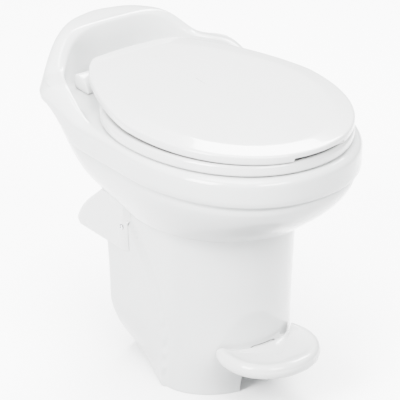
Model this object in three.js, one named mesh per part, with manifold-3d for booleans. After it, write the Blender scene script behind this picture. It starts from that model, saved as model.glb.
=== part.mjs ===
// A gravity-flush toilet for a recreational vehicle: china bowl with a raised back, china pedestal,
// seat and lid, and a foot pedal that turns a flush ball through a gear sector and pinion.
// Millimetres, +Z up, front towards -Y, origin on the floor at the middle of the overall box.
import * as THREE from 'three';
import { mergeVertices } from 'three/addons/utils/BufferGeometryUtils.js';
import Module from 'manifold-3d';

const wasm = await Module();
wasm.setup();

// Overall sizes. Lengths along Y are measured from the centre of the seat oval.
const bodyWidth = 382;
const frontReach = 248;
const backReach = 347;
const rimHeight = 442;
const halfWidth = bodyWidth / 2;
const ovalY = (frontReach - backReach) / 2;

// Fits, cuts and smoothness shared by the pieces.
const seatGap = 0.3;
const overrun = 2;
const chinaWall = 9;
const sideSteps = 22;
const bowlSideSteps = 24;
const turnPull = 34;
const roundSides = 24;
const smallSides = 14;
const hexSides = 6;

// Band round the rim, and the raised back that grows out of it. Each surface rises towards the
// rear in one or two smooth steps, from one Y to another.
const bandDepth = 46;
const bandCreaseHeight = rimHeight - bandDepth;
const bandBottomRound = 4;
const bandMiddleShare = 0.45;
const bandEdgeRound = 9;
const bandEdgeShares = [0.3, 0.85];
const frontPower = 2.1;
const backCorner = 128;
const backPower = 1.5;
const backSideRise = { by: 19, from: 120, to: 225 };
const backRearRise = { by: 62, from: 260, to: 337 };
const creaseRise = { by: 50, from: 118, to: 225 };
const crestInset = 9;
const crestReach = 293;
const crestPower = 3;
const crestSideRise = { by: 38, from: 80, to: 200 };
const crestRearRise = { by: 52, from: 257, to: 303 };
const crestRound = 3;
const crestDropShare = 0.82;
const pocketWall = 12;

// Lower bowl, its foot ring on the pedestal, and the opening at the top.
const bulgeInset = 6;
const bulgeHalf = halfWidth - bulgeInset;
const bulgeFront = frontReach - bulgeInset;
const bulgeRearInset = 22;
const bulgeRear = backReach - bulgeRearInset;
const bulgePower = 2.6;
const bulgeShares = [0, 0.08, 0.22, 0.42, 0.7, 1];
const skirtHalf = 151;
const skirtReach = 168.5;
const skirtAt = 7.7;
const bowlFootHeight = 300;
const skirtRise = 4;
const skirtHeight = bowlFootHeight + skirtRise;
const footRingThickness = 8;
const footRingRound = 3;
const footRingWidth = 14;
const footRingPower = 3.5;
const openingHalf = 128;
const openingFront = 172;
const openingRear = 140;
const openingAt = -12;
const openingRound = 4;
const rimDrop = 30;
const underRimStep = 9;
const rimThickness = 17;
const basinRise = 22;
const basinBottom = bowlFootHeight + basinRise;
const basinShares = [0.2, 0.5, 0.72, 0.88, 1];
const basinBackShares = [0.86, 0.62, 0.3];
const hollowTopInset = 22;
const hollowTopRise = 25;
const backHollowHalf = 66;
const backHollowRise = 66;
const backHollowTop = rimHeight + backHollowRise;
const backWall = 13;
const roomRise = 118;
const roomTop = rimHeight + roomRise;

// Drain: throat of the bowl, flush ball, housing and outlet. Housing heights are from the ball.
const drainY = 40;
const ballDrop = 64;
const ballHeight = bowlFootHeight - ballDrop;
const ballRadius = 58;
const ballWall = 4;
const ballCapHeight = 40;
const ballStrapHalf = 12;
const ballCavityGap = 3;
const throatRadius = 42;
const throatWall = 10;
const flangeRadius = 70;
const flangeThickness = 7.5;
const housingTop = 50;
const housingRadius = 68;
const housingShoulder = 25;
const housingNeckRadius = 56;
const housingNeckHeight = 38;
const housingFlangeThickness = 6.5;
const housingWaistRadius = 60;
const housingWaistDepth = 45;
const housingSideDepth = 28;
const housingSoleDepth = 60;
const sealInner = 40.5;
const sealOuter = 47.3;
const sealLipRadius = 44;
const sealLipHeight = 42.6;
const cavitySteps = 9;
const outletInner = 36;
const outletWall = 5;
const outletTip = 2;
const standFlangeRadius = 58;
const standFlangeThickness = 6;
const floorSealWidth = 4.4;

// Pedestal: a column with an oval front, a rear section a step proud of it, and a heel that draws
// in towards the floor.
const columnHalf = 108.8;
const columnFront = 101.7;
const columnAt = -11.4;
const footHalf = 113.2;
const footFront = 92.3;
const footAt = 1.6;
const pedestalRear = 151;
const pedestalCorner = 9.5;
const cornerTip = 0.5;
const flankStep = 6;
const flankBlend = 14;
const flankCreaseShares = { reach: 0.83, power: 2.97 };
const heelTaper = 41;
const heelHeight = 100;
const heelPower = 1.6;
const apronHeight = 92;
const pedestalShares = [0, 0.04, 0.1, 0.17, 0.25, 0.31, 0.42, 0.56, 0.7, 0.86, 1];
const doorwayHalf = 28;
const doorwayDepth = 60;
const webThickness = 10;
const webFront = -20;
const webRear = 110;

// Rear cover below the back of the bowl; its profile is in shares of its depth and height.
const coverFront = 87;
const coverRear = 232;
const coverTopGap = 2.5;
const coverTop = bowlFootHeight - coverTopGap;
const coverHeight = 86.5;
const coverBottom = coverTop - coverHeight;
const coverWall = 4;
const coverGap = 0.6;
const coverCorner = 9;
const coverShares = [[0.96, 0], [1, 0.07], [0.97, 0.22], [0.84, 0.51], [0.59, 0.87], [0.5, 1]];

// Pedal, its shaft and the gear train to the ball.
const pedalPivotY = -35;
const pedalPivotZ = 84;
const pinionTeeth = 14;
const gearRatio = 6;
const sectorTeeth = 8;
const sectorLead = 5;
const gearWidth = 10;
const gearSide = 74;
const addendumShare = 0.8;
const dedendumShare = 1.1;
const toothRootShare = 0.31;
const toothTipShare = 0.13;
const sectorRim = 9;
const sectorArmHalf = 11;
const shaftRadius = 8;
const shaftHalf = 96;
const hubRadius = 15;
const hubHalf = 20;
const leverThickness = 13;
const leverReach = 96;
const bearingWall = 3.4;
const bearingLength = 8;
const bossWall = 5;
const bossInner = 87.5;
const bossOuter = 98;
const pedalCentreY = -122;
const pedalHalf = 85;
const pedalReach = 84;
const pedalTop = 97;
const pedalColumnGap = 4;
const pedalSteps = 16;
const pedalRows = [
  [30, -9], [13, -9], [12, -18], [5, -20], [0, -14], [0, -6], [3, -1.5], [9, 0], [18, -2], [40, -4]];

// Ball shaft, cam and spring cartridge, to the left and right of the ball.
const ballShaftRadius = 9;
const bushWall = 3.4;
const bushInner = 60;
const bossFace = 69.5;
const sideBossRadius = 22;
const camBase = 16;
const camLift = 8;
const camSide = 85;
const camWidth = 7;
const camSteps = 28;
const cartridgeRadius = 24;
const cartridgeLength = 12.5;
const cartridgeWall = 2;
const springWire = 0.9;
const springTurns = 3;
const springSteps = 12;
const springSides = 5;

// Water valve behind the cam, and the line to the rim.
const valveX = -88.5;
const valveRadius = 14;
const valveFront = 78;
const plungerRadius = 4;
const plungerLength = 45;
const plungerGap = 0.6;
const plungerBoreEnd = 112;
const nippleRadius = 9.5;
const nippleBore = 6;
const nippleEnd = 186;
const locknutRadius = 15;
const locknutThickness = 6.5;
const inletNutRadius = 14.5;
const inletNutFrom = 166;
const inletNutLength = 24;
const valveOutletY = 106;
const valveOutletRise = 30;
const valveOutletTop = ballHeight + valveOutletRise;
const barbRadius = 4.6;
const barbBore = 2.6;
const hoseRadius = 5.5;
const hoseSides = 10;
const hoseSteps = 22;
const hoseTurnHeight = 435;
const supplyRoute = [
  [-88.5, 106, 279], [-78, 102, 292], [-67, 100, 305], [-66, 108, 322], [-64, 130, 342], [-58, 160, 360],
  [-46, 195, 380], [-33, 230, 397], [-20, 262, 408], [-11, 290, 418]];
const rinseRoute = [[8, 292, 418], [6, 268, 411], [4, 238, 411], [1, 205, 415], [0, 182, 417.5]];
const breakerSetback = 19;
const breakerY = crestReach + breakerSetback;
const breakerRise = 20;
const breakerBottom = rimHeight + breakerRise;
const breakerRadius = 14;
const breakerHeight = 30;
const breakerWall = 3;
const breakerFloor = 6;
const breakerCapHeight = 11;
const breakerLugHalf = 7;
const breakerLugHeight = 8;
const breakerBarbX = 9;
const breakerBarbOffset = 6;
const breakerBarbY = breakerY - breakerBarbOffset;
const breakerBarbLength = 12;
const poppetRadius = 9.5;
const poppetThickness = 4;
const poppetStem = 2.5;
const poppetStemLength = 12;
const nozzleDrop = 24.5;
const nozzleHeight = rimHeight - nozzleDrop;
const nozzleRadius = 4.5;
const nozzleBore = 2.6;
const nozzleHeadRadius = 7;
const nozzleHeadLength = 7;
const nozzleFlangeThickness = 2.5;
const nozzleTail = 162;
const nozzleGap = 1.2;

// Seat and lid, on one hinge line. Lid heights are from its lower edge.
const hingeSetback = 57;
const hingeY = crestReach - hingeSetback;
const seatInset = 6.5;
const seatHalf = halfWidth - seatInset;
const seatFrontInset = 12;
const seatFront = frontReach - seatFrontInset;
const seatRearGap = 33.4;
const seatRear = hingeY - seatRearGap;
const seatStand = 4;
const seatBottom = rimHeight + seatStand;
const seatHoleHalf = 108;
const seatHoleFront = 158;
const seatHoleRear = 112;
const seatSteps = 20;
const seatOuterRows = [[-2, 0], [0, 3], [0, 11], [-2.5, 15], [-7, 17]];
const seatInnerRows = [[14, 15.5], [3, 11], [0, 5], [3, 0]];
const seatThickness = 17;
const lidInset = 8.5;
const lidHalf = halfWidth - lidInset;
const lidFrontInset = 11;
const lidFront = frontReach - lidFrontInset;
const lidRearOverhang = 5;
const lidRear = hingeY + lidRearOverhang;
const lidRearHalf = 82;
const lidRearPower = 1.44;
const lidRearBow = 6;
const lidGap = 11;
const lidBottom = seatBottom + seatThickness + lidGap;
const lidTilt = 0.02;
const lidShell = 6;
const lidRows = [
  [-24, 6], [-14, 0], [-2.5, 0], [0, 3], [0, 8], [-3, 12], [-9, 13.2], [-34, 16], [-80, 18.5]];
const liftNotchHalf = 52;
const liftNotchDepth = 4;
const liftNotchRun = 14;
const hingeRise = 13;
const hingeZ = seatBottom + hingeRise;
const hingePinRadius = 4;
const knuckleRadius = 7;
const knuckleWidth = 10;
const knuckleGap = 2;
const postInset = 105;
const postFrom = halfWidth - postInset;
const lidKnuckleInset = 28;
const lidKnuckleFrom = postFrom - lidKnuckleInset;
const seatArmDepth = 10;
const seatArmLength = 68;
const seatArmFrom = hingeY - seatArmLength;
const postWidth = 26;
const postBarrelRadius = 9;
const postFrontReach = 31;
const postFront = hingeY - postFrontReach;
const postRearReach = 6;
const postRear = hingeY + postRearReach;
const postBaseHeight = 9;
const hingeBoltSetback = 19.5;
const hingeBoltY = hingeY - hingeBoltSetback;
const hingeBoltRadius = 4.5;
const hingeBoltHead = 8;
const hingeBoltHeadHeight = 3.5;
const hingeBoltReach = 33;
const hingeBoltTail = rimHeight - hingeBoltReach;
const hingeNutRadius = 10;
const hingeNutThickness = 7;
const bumperRadius = 8;
const seatBumperInsets = { front: [58.5, -118], rear: [45.5, 78] };
const lidBumperInsets = { front: [60.5, -122], rear: [46.5, 66] };

// Fasteners at the floor, on the clamp and on the rear cover.
const closetSpacing = 152;
const closetBoltRadius = 4;
const closetBoltBottom = 0.6;
const closetBoltTop = 36;
const washerRadius = 11;
const washerThickness = 2;
const closetNutRadius = 8.5;
const closetNutThickness = 7.5;
const clampOuter = 75.5;
const clampLip = 3.6;
const clampGap = 1.2;
const clampEarReach = 13;
const clampEarThickness = 6;
const clampEarHeight = 14;
const clampSplit = 1.6;
const clampScrewRadius = 2.5;
const clampScrewHead = 4.5;
const clampScrewHeadHeight = 3;
const coverScrewRadius = 2.2;
const coverScrewHead = 4.5;
const coverScrewHeadHeight = 2.5;
const coverScrewLength = 9;
const coverScrewInset = 12;
const coverScrewY = coverFront + coverScrewInset;
const coverScrewRise = 41;
const coverScrewZ = coverBottom + coverScrewRise;

// Colours and finishes.
const finish = (color, roughness, metalness = 0) =>
  new THREE.MeshStandardMaterial({ color, roughness, metalness });
const china = finish('#eceded', 0.12);
const seatPlastic = finish('#efeeec', 0.22);
const housingPlastic = finish('#3c3f42', 0.55);
const gearPlastic = finish('#d9d6cc', 0.5);
const ballPlastic = finish('#e6e4de', 0.3);
const rubber = finish('#232425', 0.85);
const steel = finish('#b9bcbf', 0.32, 1);
const brass = finish('#c3a257', 0.35, 1);
const hosePlastic = finish('#8f959a', 0.5);

const toilet = new THREE.Group();
const oval = new THREE.Group();
oval.position.y = ovalY;
toilet.add(oval);

// Adds one named piece; its shape is a manifold solid in the seat oval's frame.
function piece(name, shape, material, parent = oval) {
  const mesh = new THREE.Mesh(geometryOf(shape), material);
  mesh.name = name;
  parent.add(mesh);
}

// Conversions between geometries and manifold solids.
function solid(geometry) {
  const bare = geometry.clone();
  bare.deleteAttribute('normal');
  bare.deleteAttribute('uv');
  const merged = facingOut(mergeVertices(bare));
  const vertProperties = new Float32Array(merged.attributes.position.array);
  const triVerts = new Uint32Array(merged.index.array);
  return new wasm.Manifold(new wasm.Mesh({ numProp: 3, vertProperties, triVerts }));
}

function geometryOf(manifold) {
  const mesh = manifold.getMesh();
  const geometry = new THREE.BufferGeometry();
  geometry.setAttribute('position', new THREE.BufferAttribute(new Float32Array(mesh.vertProperties), 3));
  geometry.setIndex(new THREE.BufferAttribute(new Uint32Array(mesh.triVerts), 1));
  geometry.computeVertexNormals();
  return geometry;
}

// Reverses the triangles of a closed mesh whose faces point inwards.
function facingOut(geometry) {
  const spots = geometry.attributes.position;
  const order = geometry.index.array;
  const [a, b, c] = [new THREE.Vector3(), new THREE.Vector3(), new THREE.Vector3()];
  let volume = 0;
  for (let i = 0; i < order.length; i += 3) {
    a.fromBufferAttribute(spots, order[i]);
    b.fromBufferAttribute(spots, order[i + 1]);
    c.fromBufferAttribute(spots, order[i + 2]);
    volume += a.dot(b.cross(c));
  }
  if (volume < 0) {
    for (let i = 0; i < order.length; i += 3) [order[i], order[i + 1]] = [order[i + 1], order[i]];
  }
  return geometry;
}

const joined = (first, ...others) => others.reduce((sum, next) => sum.add(next), first);
const cut = (first, ...others) => others.reduce((rest, next) => rest.subtract(next), first);

// Basic solids, placed by their ends. A side of -1 mirrors a solid given for the right.
function cylinder(axis, radius, from, to, centre, sides = roundSides) {
  const shape = new THREE.CylinderGeometry(radius, radius, to - from, sides);
  const middle = (from + to) / 2;
  if (axis === 'x') shape.rotateZ(-Math.PI / 2).translate(middle, centre[0], centre[1]);
  if (axis === 'y') shape.translate(centre[0], middle, centre[1]);
  if (axis === 'z') shape.rotateX(Math.PI / 2).translate(centre[0], centre[1], middle);
  return solid(shape);
}

function box(x, y, z) {
  const shape = new THREE.BoxGeometry(x[1] - x[0], y[1] - y[0], z[1] - z[0]);
  shape.translate((x[0] + x[1]) / 2, (y[0] + y[1]) / 2, (z[0] + z[1]) / 2);
  return solid(shape);
}

const ends = (side, from, to) => [side * from, side * to].sort((a, b) => a - b);

function sideBox(side, x, y, z) {
  return box(ends(side, x[0], x[1]), y, z);
}

function sideCylinder(side, radius, from, to, centre, sides) {
  const [low, high] = ends(side, from, to);
  return cylinder('x', radius, low, high, centre, sides);
}

function ball(radius, centre, sides = roundSides) {
  const shape = new THREE.SphereGeometry(radius, sides, sides / 2);
  return solid(shape.rotateX(Math.PI / 2).translate(...centre));
}

// A turned solid round a vertical axis; the profile of radii and heights closes on itself.
function turned(profile, centre, sides = roundSides) {
  const points = [...profile, profile[0]].map(([radius, height]) => new THREE.Vector2(radius, height));
  const shape = new THREE.LatheGeometry(points, sides);
  return solid(shape.rotateX(Math.PI / 2).translate(centre[0], centre[1], centre[2]));
}

function washer(inner, outer, from, to, centre, sides) {
  return cut(
    cylinder('z', outer, from, to, centre, sides),
    cylinder('z', inner, from - overrun, to + overrun, centre, roundSides));
}

// A flat outline in Y and Z, extruded along X.
function plate(points, from, to) {
  const shape = new THREE.Shape(points.map(([y, z]) => new THREE.Vector2(y, z)));
  const geometry = new THREE.ExtrudeGeometry(shape, { depth: to - from, bevelEnabled: false });
  const turn = new THREE.Matrix4().makeBasis(
    new THREE.Vector3(0, 1, 0), new THREE.Vector3(0, 0, 1), new THREE.Vector3(1, 0, 0));
  return solid(geometry.applyMatrix4(turn).translate(from, 0, 0));
}

function tube(points, radius) {
  const path = new THREE.CatmullRomCurve3(points.map((point) => new THREE.Vector3(...point)));
  const section = new THREE.Shape();
  for (let i = 0; i < hoseSides; i++) {
    const turn = 2 * Math.PI * i / hoseSides;
    section[i ? 'lineTo' : 'moveTo'](radius * Math.cos(turn), radius * Math.sin(turn));
  }
  return solid(new THREE.ExtrudeGeometry(section, { steps: hoseSteps, extrudePath: path }));
}

// A solid through a stack of closed rings with the same number of points. A stack that closes on
// itself makes a wall round a hole; otherwise both ends are filled with a fan of triangles.
function loft(rings, closesOnItself = false) {
  const count = rings[0].length;
  const spots = rings.flat();
  const order = [];
  const spans = closesOnItself ? rings.length : rings.length - 1;
  for (let r = 0; r < spans; r++) {
    const next = (r + 1) % rings.length;
    for (let i = 0; i < count; i++) {
      const j = (i + 1) % count;
      order.push(r * count + i, r * count + j, next * count + j);
      order.push(r * count + i, next * count + j, next * count + i);
    }
  }
  if (!closesOnItself) {
    for (const end of [0, rings.length - 1]) {
      const middle = spots.length;
      const total = rings[end].reduce((sum, p) => [sum[0] + p[0], sum[1] + p[1], sum[2] + p[2]]);
      spots.push(total.map((value) => value / count));
      for (let i = 0; i < count; i++) {
        const edge = [end * count + i, end * count + (i + 1) % count];
        if (end === 0) edge.reverse();
        order.push(edge[0], edge[1], middle);
      }
    }
  }
  const geometry = new THREE.BufferGeometry();
  geometry.setAttribute('position', new THREE.Float32BufferAttribute(spots.flat(), 3));
  geometry.setIndex(order);
  return solid(geometry);
}

// Outlines in plan: a half width, a reach to the front and to the rear of two centres, and the
// powers of the front and rear curves. A rear half width leaves the rear edge nearly straight.
// Points are spaced by length, and closer where the outline turns, by a pull for each radian.
const smooth = (value) => {
  const part = Math.min(Math.max(value, 0), 1);
  return part * part * (3 - 2 * part);
};
const mix = (from, to, part) => from + (to - from) * part;

function outline(half, front, rear, frontAt = 0, rearAt = 0, frontCurve = 2, rearCurve = 2) {
  return { half, front, rear, frontAt, rearAt, frontCurve, rearCurve, rearHalf: 0, rearBow: 0 };
}

function grown(shape, by) {
  const rearHalf = shape.rearHalf ? shape.rearHalf + by : 0;
  return { ...shape, half: shape.half + by, front: shape.front + by, rear: shape.rear + by, rearHalf };
}

function between(first, second, part) {
  return Object.fromEntries(Object.keys(first).map((key) => [key, mix(first[key], second[key], part)]));
}

function densePath(shape) {
  const fine = 160;
  const dense = [];
  const frontBend = 2 / shape.frontCurve;
  const rearBend = 2 / shape.rearCurve;
  for (let i = 0; i <= fine; i++) {
    const turn = Math.PI / 2 * i / fine;
    const across = i === 0 ? 0 : shape.half * Math.sin(turn) ** frontBend;
    dense.push([across, shape.frontAt - shape.front * Math.max(Math.cos(turn), 0) ** frontBend]);
  }
  for (let i = 0; i <= fine; i++) {
    const turn = Math.PI / 2 * i / fine;
    const across = i === fine ? 0 : Math.cos(turn) ** rearBend;
    const x = shape.rearHalf + (shape.half - shape.rearHalf) * across;
    dense.push([x, shape.rearAt + shape.rear * Math.sin(turn) ** rearBend]);
  }
  for (let i = 1; i <= fine && shape.rearHalf; i++) {
    const part = 1 - i / fine;
    dense.push([shape.rearHalf * part, shape.rearAt + shape.rear + shape.rearBow * (1 - part * part)]);
  }
  return dense.filter(([x, y], i) => i === 0 || x !== dense[i - 1][0] || y !== dense[i - 1][1]);
}

// Picks points off a dense path where its measures reach the goals.
function pick(dense, measures, goals) {
  let k = 1;
  return goals.map((goal) => {
    while (k < dense.length - 1 && measures[k] < goal) k++;
    const part = (goal - measures[k - 1]) / (measures[k] - measures[k - 1]);
    return [mix(dense[k - 1][0], dense[k][0], part), mix(dense[k - 1][1], dense[k][1], part)];
  });
}

function halfPath(shape, steps) {
  const dense = densePath(shape);
  const along = [0];
  let heading = 0;
  for (let i = 1; i < dense.length; i++) {
    const [stepX, stepY] = [dense[i][0] - dense[i - 1][0], dense[i][1] - dense[i - 1][1]];
    const facing = Math.atan2(stepY, stepX);
    along.push(along[i - 1] + Math.hypot(stepX, stepY) + turnPull * Math.abs(facing - heading));
    heading = facing;
  }
  const inner = Array.from({ length: steps - 1 }, (_, i) => along.at(-1) * (i + 1) / steps);
  return [dense[0], ...pick(dense, along, inner), dense.at(-1)];
}

// Closes a right half from front to rear with its mirror image, at a height or a height over Y.
function closeRing(right, height, bend = (x, y) => [x, y]) {
  const left = right.slice(1, -1).reverse().map(([x, y]) => [-x, y]);
  return [...right, ...left].map(([x, y]) => {
    const z = typeof height === 'function' ? height(y) : height;
    return [...bend(x, y, z), z];
  });
}

const ring = (shape, height, steps = sideSteps) => closeRing(halfPath(shape, steps), height);

// Heights over Y of the band's crease, its top edge and the crest of the raised back.
const climb = (rise, y) => rise.by * smooth((y - rise.from) / (rise.to - rise.from));
const bandCrease = (y) => bandCreaseHeight + climb(creaseRise, y);
const bandTop = (y) => rimHeight + climb(backSideRise, y) + climb(backRearRise, y);
const crest = (y) => rimHeight + climb(crestSideRise, y) + climb(crestRearRise, y);

const bandShape = outline(
  halfWidth, frontReach, backCorner, 0, backReach - backCorner, frontPower, backPower);
const crestShape = outline(
  halfWidth - crestInset, frontReach - crestInset, crestReach, 0, 0, frontPower, crestPower);
const bulgeShape = outline(bulgeHalf, bulgeFront, bulgeRear, 0, 0, frontPower, bulgePower);
const skirtShape = outline(skirtHalf, skirtReach, skirtReach, skirtAt, skirtAt);
const openingShape = outline(
  openingHalf, openingFront, openingRear, openingAt, openingAt, frontPower, frontPower);
const throatShape = outline(throatRadius, throatRadius, throatRadius, drainY, drainY);
const throatBottom = ballHeight + housingTop + seatGap;
const rimUnderside = rimHeight - rimThickness;

// Rings of the bowl have their points on the same rays from the drain's axis.
const facing = ([x, y]) => Math.atan2(x, drainY - y);
const rays = halfPath(bandShape, bowlSideSteps).slice(1, -1).map(facing);

function rayRing(shape, height) {
  const dense = densePath(shape);
  return closeRing([dense[0], ...pick(dense, dense.map(facing), rays), dense.at(-1)], height);
}

// Lower bowl: a bulge between the foot ring and the band's crease.
function bulgeRing(share, inset = 0, lift = 0) {
  const part = Math.sin(share * Math.PI / 2);
  const shape = grown(between(skirtShape, bulgeShape, part), -inset);
  return rayRing(shape, (y) => mix(skirtHeight, bandCrease(y), share) + lift);
}

// Inside of the bowl: a basin between the underside of the rim and the throat.
function basinRing(share, growth = 0) {
  const part = 1 - Math.sqrt(1 - share * share);
  const shape = grown(between(grown(openingShape, underRimStep), throatShape, part), growth);
  const top = rimHeight - rimDrop - openingRound - underRimStep;
  return rayRing(shape, mix(top, basinBottom, share) - growth);
}

// Pedestal outline at a height; the front changes from the foot's oval to the column's.
function columnShape(height, inset = 0) {
  const part = smooth(height / apronHeight);
  const front = mix(footFront, columnFront, part) - inset;
  const half = mix(footHalf, columnHalf, part) - inset;
  return square(half, front, mix(footAt, columnAt, part), pedestalRear - inset, pedestalCorner - inset);
}

// An outline with a round front and a square rear with rounded corners.
function square(half, front, frontAt, rearEnd, roundness) {
  const corner = Math.max(roundness, cornerTip);
  return { ...outline(half, front, corner, frontAt, rearEnd - corner), rearHalf: half - corner };
}

function flankBend(x, y, z) {
  const creaseY = pedestalRear * flankCreaseShares.reach * (z / bowlFootHeight) ** flankCreaseShares.power;
  const proud = flankStep * smooth((y - creaseY) / flankBlend + 1 / 2);
  const drawnIn = heelTaper * Math.max(1 - z / heelHeight, 0) ** heelPower;
  const heel = drawnIn * Math.min(Math.max(y / pedestalRear, 0), 1);
  return [x * (1 + (proud - heel) / columnHalf), y];
}

const columnRing = (height, inset) => closeRing(
  halfPath(columnShape(height, inset), sideSteps), height, flankBend);

// Outer skin of the bowl, up to the crest, as a solid block.
function bowlBlock() {
  const [edgeIn, edgeTop] = bandEdgeShares.map((share) => share * bandEdgeRound);
  const wallFoot = (y) => bandCrease(y) + bandBottomRound;
  const wallTop = (y) => bandTop(y) - bandEdgeRound;
  return loft([
    rayRing(grown(skirtShape, -footRingRound), bowlFootHeight),
    ...bulgeShares.map((share) => bulgeRing(share)),
    rayRing(grown(bandShape, -bandBottomRound), bandCrease),
    rayRing(bandShape, wallFoot),
    rayRing(bandShape, (y) => mix(wallFoot(y), wallTop(y), bandMiddleShare)),
    rayRing(bandShape, wallTop),
    rayRing(grown(bandShape, -edgeIn), (y) => bandTop(y) - edgeIn),
    rayRing(grown(bandShape, -edgeTop), bandTop),
    rayRing(grown(crestShape, -crestRound), crest),
    rayRing(grown(crestShape, -crestRound - crestRound), (y) => crest(y) + overrun),
  ]);
}

// Room inside the crest, down to the deck.
function pocketRoom() {
  const lip = grown(crestShape, -crestRound);
  return loft([
    rayRing(grown(lip, -pocketWall), rimHeight),
    rayRing(grown(lip, -crestRound), (y) => mix(rimHeight, crest(y), crestDropShare)),
    rayRing(lip, crest),
    rayRing(lip, roomTop),
  ]);
}

// Room inside the basin, from the rim's opening to the throat.
function basinRoom() {
  return loft([
    rayRing(throatShape, throatBottom - overrun),
    ...basinShares.map((share) => basinRing(share)).reverse(),
    rayRing(grown(openingShape, underRimStep), rimHeight - rimDrop - openingRound),
    rayRing(openingShape, rimHeight - rimDrop),
    rayRing(openingShape, rimHeight - openingRound),
    rayRing(grown(openingShape, openingRound), rimHeight),
    rayRing(grown(openingShape, openingRound), rimHeight + overrun),
  ]);
}

// Hollow between the outer skin and the basin, open at the foot.
function bowlHollow() {
  const skin = loft([
    rayRing(grown(skirtShape, -chinaWall - footRingRound), bowlFootHeight + footRingThickness),
    ...bulgeShares.slice(1, -1).map((share) => bulgeRing(share, chinaWall)),
    bulgeRing(1, chinaWall),
    bulgeRing(1, hollowTopInset, hollowTopRise),
  ]);
  const deck = loft([
    ring(grown(crestShape, -crestRound - crestRound), rimUnderside),
    ring(grown(crestShape, crestRound), roomTop),
  ]);
  const back = loft([rimUnderside, backHollowTop].map((z) => ring(grown(bandShape, -backWall), z)));
  const backLimit = box(
    [-backHollowHalf, backHollowHalf], [crestReach + crestRound, backReach], [rimUnderside, roomTop]);
  const basin = loft([
    rayRing(grown(throatShape, throatWall), bowlFootHeight),
    ...basinBackShares.map((share) => basinRing(share, chinaWall)),
    rayRing(grown(openingShape, underRimStep + chinaWall), rimHeight),
  ]);
  const hole = outline(
    columnHalf - footRingWidth, columnFront - footRingWidth, pedestalRear - footRingWidth - columnAt,
    columnAt, columnAt, 2, footRingPower);
  const mouth = loft([bowlFootHeight - overrun, bowlFootHeight + footRingThickness + overrun].map(
    (z) => rayRing(hole, z)));
  const pieces = joined(cut(skin, deck), mouth, back.intersect(backLimit)).decompose();
  const largest = pieces.reduce((best, next) => (next.volume() > best.volume() ? next : best));
  return cut(largest, basin);
}

// The bowl: china skin, rim and basin, with the throat and its flange below.
function makeBowl() {
  const drain = [0, drainY];
  const throat = cylinder('z', throatRadius + throatWall, throatBottom, basinBottom, drain);
  const flange = cylinder('z', flangeRadius, throatBottom, throatBottom + flangeThickness, drain);
  const boltX = postFrom + postWidth / 2;
  const boltHoles = [-1, 1].map((side) => cylinder(
    'z', hingeBoltRadius + seatGap, rimUnderside - overrun, rimHeight + overrun,
    [side * boltX, hingeBoltY], smallSides));
  const nozzleHole = cylinder(
    'y', nozzleRadius + seatGap, openingAt + openingRear - overrun, nozzleTail,
    [0, nozzleHeight], smallSides);
  return cut(
    joined(cut(bowlBlock(), pocketRoom(), bowlHollow()), throat, flange),
    basinRoom(), ...boltHoles, nozzleHole);
}

// The pedestal: a hollow shell with a doorway for the pedal, a floor web, and a boss each side
// for the pedal shaft.
function makePedestal() {
  const top = bowlFootHeight - seatGap;
  const heights = pedestalShares.map((share) => share * top);
  const shell = loft([
    ...heights.map((height) => columnRing(height)),
    ...heights.map((height) => columnRing(height, chinaWall)).reverse(),
  ], true);
  const webSolid = loft([columnRing(0, chinaWall / 2), columnRing(webThickness, chinaWall / 2)]);
  const web = webSolid.intersect(
    box([-bodyWidth, bodyWidth], [webFront, webRear], [0, webThickness]));
  const pivot = [pedalPivotY, pedalPivotZ];
  const bearingRadius = shaftRadius + seatGap + bearingWall;
  const bosses = [-1, 1].map((side) => sideCylinder(
    side, bearingRadius + seatGap + bossWall, bossInner, bossOuter, pivot));
  const bores = [-1, 1].map((side) => sideCylinder(
    side, bearingRadius + seatGap, bossInner - overrun, shaftHalf + seatGap, pivot));
  const doorway = box(
    [-doorwayHalf, doorwayHalf], [columnAt - columnFront - overrun, -doorwayDepth], [-overrun, apronHeight]);
  const outletRadius = outletInner + outletWall + seatGap + floorSealWidth + seatGap;
  const outletHole = cylinder('z', outletRadius, -overrun, webThickness + overrun, [0, drainY]);
  const closetHoles = [-1, 1].map((side) => cylinder(
    'z', closetBoltRadius + seatGap, -overrun, webThickness + overrun,
    [side * closetSpacing / 2, drainY], smallSides));
  const nippleHole = cylinder(
    'y', nippleRadius + seatGap, pedestalRear - chinaWall - overrun, pedestalRear + overrun,
    [valveX, ballHeight]);
  return cut(
    joined(shell, web, ...bosses),
    ...bores, doorway, outletHole, ...closetHoles, nippleHole, ...coverScrewHoles());
}

const coverHalf = columnHalf + flankStep + coverGap + coverWall;

function coverScrewHoles() {
  return [-1, 1].map((side) => sideCylinder(
    side, coverScrewRadius + seatGap, coverHalf - coverScrewLength - seatGap, coverHalf + overrun,
    [coverScrewY, coverScrewZ], smallSides));
}

// The rear cover: a hood, open below, that fits round the back of the pedestal.
function makeRearCover() {
  const depth = coverRear - coverFront;
  const height = coverTop - coverBottom;
  const rings = (inset) => coverShares.map(([reachShare, heightShare]) => {
    const reach = coverFront + depth * reachShare - inset;
    const below = heightShare === 0 ? inset : 0;
    const z = Math.min(coverBottom + height * heightShare, coverTop - inset) - below;
    const shape = square(coverHalf - inset, coverHalf, coverFront, reach, coverCorner - inset);
    return ring(shape, z);
  });
  const outside = loft(rings(0));
  const inside = loft(rings(coverWall));
  const pedestalSpace = loft([coverBottom - overrun, coverTop + overrun].map(
    (z) => columnRing(z, -coverGap)));
  const behind = box(
    [-bodyWidth, bodyWidth], [coverFront, coverRear + overrun], [coverBottom - overrun, coverTop + overrun]);
  return cut(outside.intersect(behind), inside, pedestalSpace, ...coverScrewHoles());
}

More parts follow.
